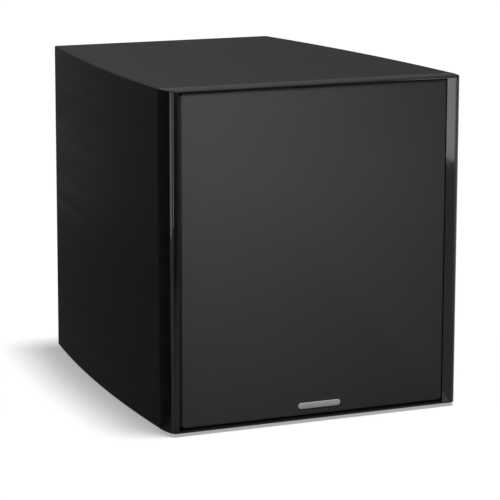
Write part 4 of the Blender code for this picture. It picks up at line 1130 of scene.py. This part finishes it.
def build_world():
    """White behind the object. Reflections see walls whose brightness changes with direction."""
    world = bpy.data.worlds.new("studio")
    bpy.context.scene.world = world
    world.use_nodes = True
    s = Graph(world.node_tree, "Generated")
    axes = s.axes()
    low, high = (glow_ramp(s, axes["X"], stops) for stops in (LOW_GLOW, HIGH_GLOW))
    walls = s.blend(s.spread(axes["Z"], 0.0, 1.0, *HORIZON), low, high)
    to_mirror = s.blend(s.ray("Glossy"), (FILL,) * 3, walls)
    s.plug(s.blend(s.ray("Camera"), to_mirror, WHITE), s.nodes["Background"].inputs["Color"])


def add_lamp(name, kind, location, target, power, **settings):
    """Lamp that points from location to target. The camera doesn't see the lamp itself."""
    data = bpy.data.lights.new(name, kind)
    data.energy = power
    for key, value in settings.items():
        setattr(data, key, value)
    lamp = bpy.data.objects.new(name, data)
    lamp.location = location
    lamp.rotation_euler = (Vector(target) - Vector(location)).to_track_quat("-Z", "Y").to_euler()
    lamp.visible_camera = False
    bpy.context.scene.collection.objects.link(lamp)
    return lamp


def add_panel(name, location, target, size, radiance):
    """Rectangular softbox of an even brightness."""
    power = radiance * math.pi * size[0] * size[1]
    return add_lamp(name, "AREA", location, target, power, shape="RECTANGLE", size=size[0], size_y=size[1])


def build_lights(floor):
    """Top light, a key light on the grille, and softboxes for the gloss frame, the sides and the back.

    Only the top light and the walls reach the floor, which keeps it even.
    """
    sun = add_lamp("sun", "SUN", (0.29, -0.25, 3.0), (0, 0, 0), SUN_POWER, angle=math.radians(SUN_ANGLE))
    place, target = (-0.23, FRONT - 0.43, 0.62), (-0.05, FRONT, 0.30)
    key = add_lamp("key", "AREA", place, target, KEY_POWER, shape="DISK", size=KEY_SIZE)
    sun.visible_glossy = key.visible_glossy = False
    off_floor = bpy.data.collections.new("off_floor")
    off_floor.objects.link(floor)
    off_floor.collection_objects[0].light_linking.link_state = "EXCLUDE"
    for lamp in [key] + [add_panel(*softbox) for softbox in SOFTBOXES]:
        lamp.light_linking.receiver_collection = off_floor


def build_camera():
    """Long lens, to the left of the grille and a little above it."""
    azimuth, elevation, roll = math.radians(24.232), math.radians(11.166), math.radians(0.146)
    data = bpy.data.cameras.new("camera")
    data.sensor_width = 36.0
    data.lens = 180.35
    camera = bpy.data.objects.new("camera", data)
    bpy.context.scene.collection.objects.link(camera)
    level = math.cos(elevation)
    ahead = Vector((math.sin(azimuth) * level, math.cos(azimuth) * level, -math.sin(elevation)))
    camera.location = (-1.3188, FRONT - 2.7229, BASE + 0.8106)
    camera.rotation_mode = "QUATERNION"
    tilt = Matrix.Rotation(roll, 3, "Z").to_quaternion()
    camera.rotation_quaternion = ahead.to_track_quat("-Z", "Y") @ tilt
    bpy.context.scene.camera = camera


FINISHES = make_finishes()


def main():
    finish_cad_nodes()
    build_panels()
    build_bezel()
    build_feet()
    build_cloth()
    build_sockets()
    build_badge()
    build_basket()
    build_surround()
    build_spider()
    build_cone()
    build_motor()
    for i in range(6):
        build_screw(f"driver_screw_{i + 1}", 0.0043, 0.0025, -1, "hex")
        build_screw(f"amp_screw_{i + 1}", 0.0040, 0.0018, 1, "cross")
    build_plate_gasket()
    build_knobs()
    build_jacks()
    build_inlet_pins()
    build_lamp_lens()
    build_transformer()
    build_world()
    build_lights(build_floor())
    build_camera()
    bpy.context.scene.view_settings.view_transform = "Standard"


main()
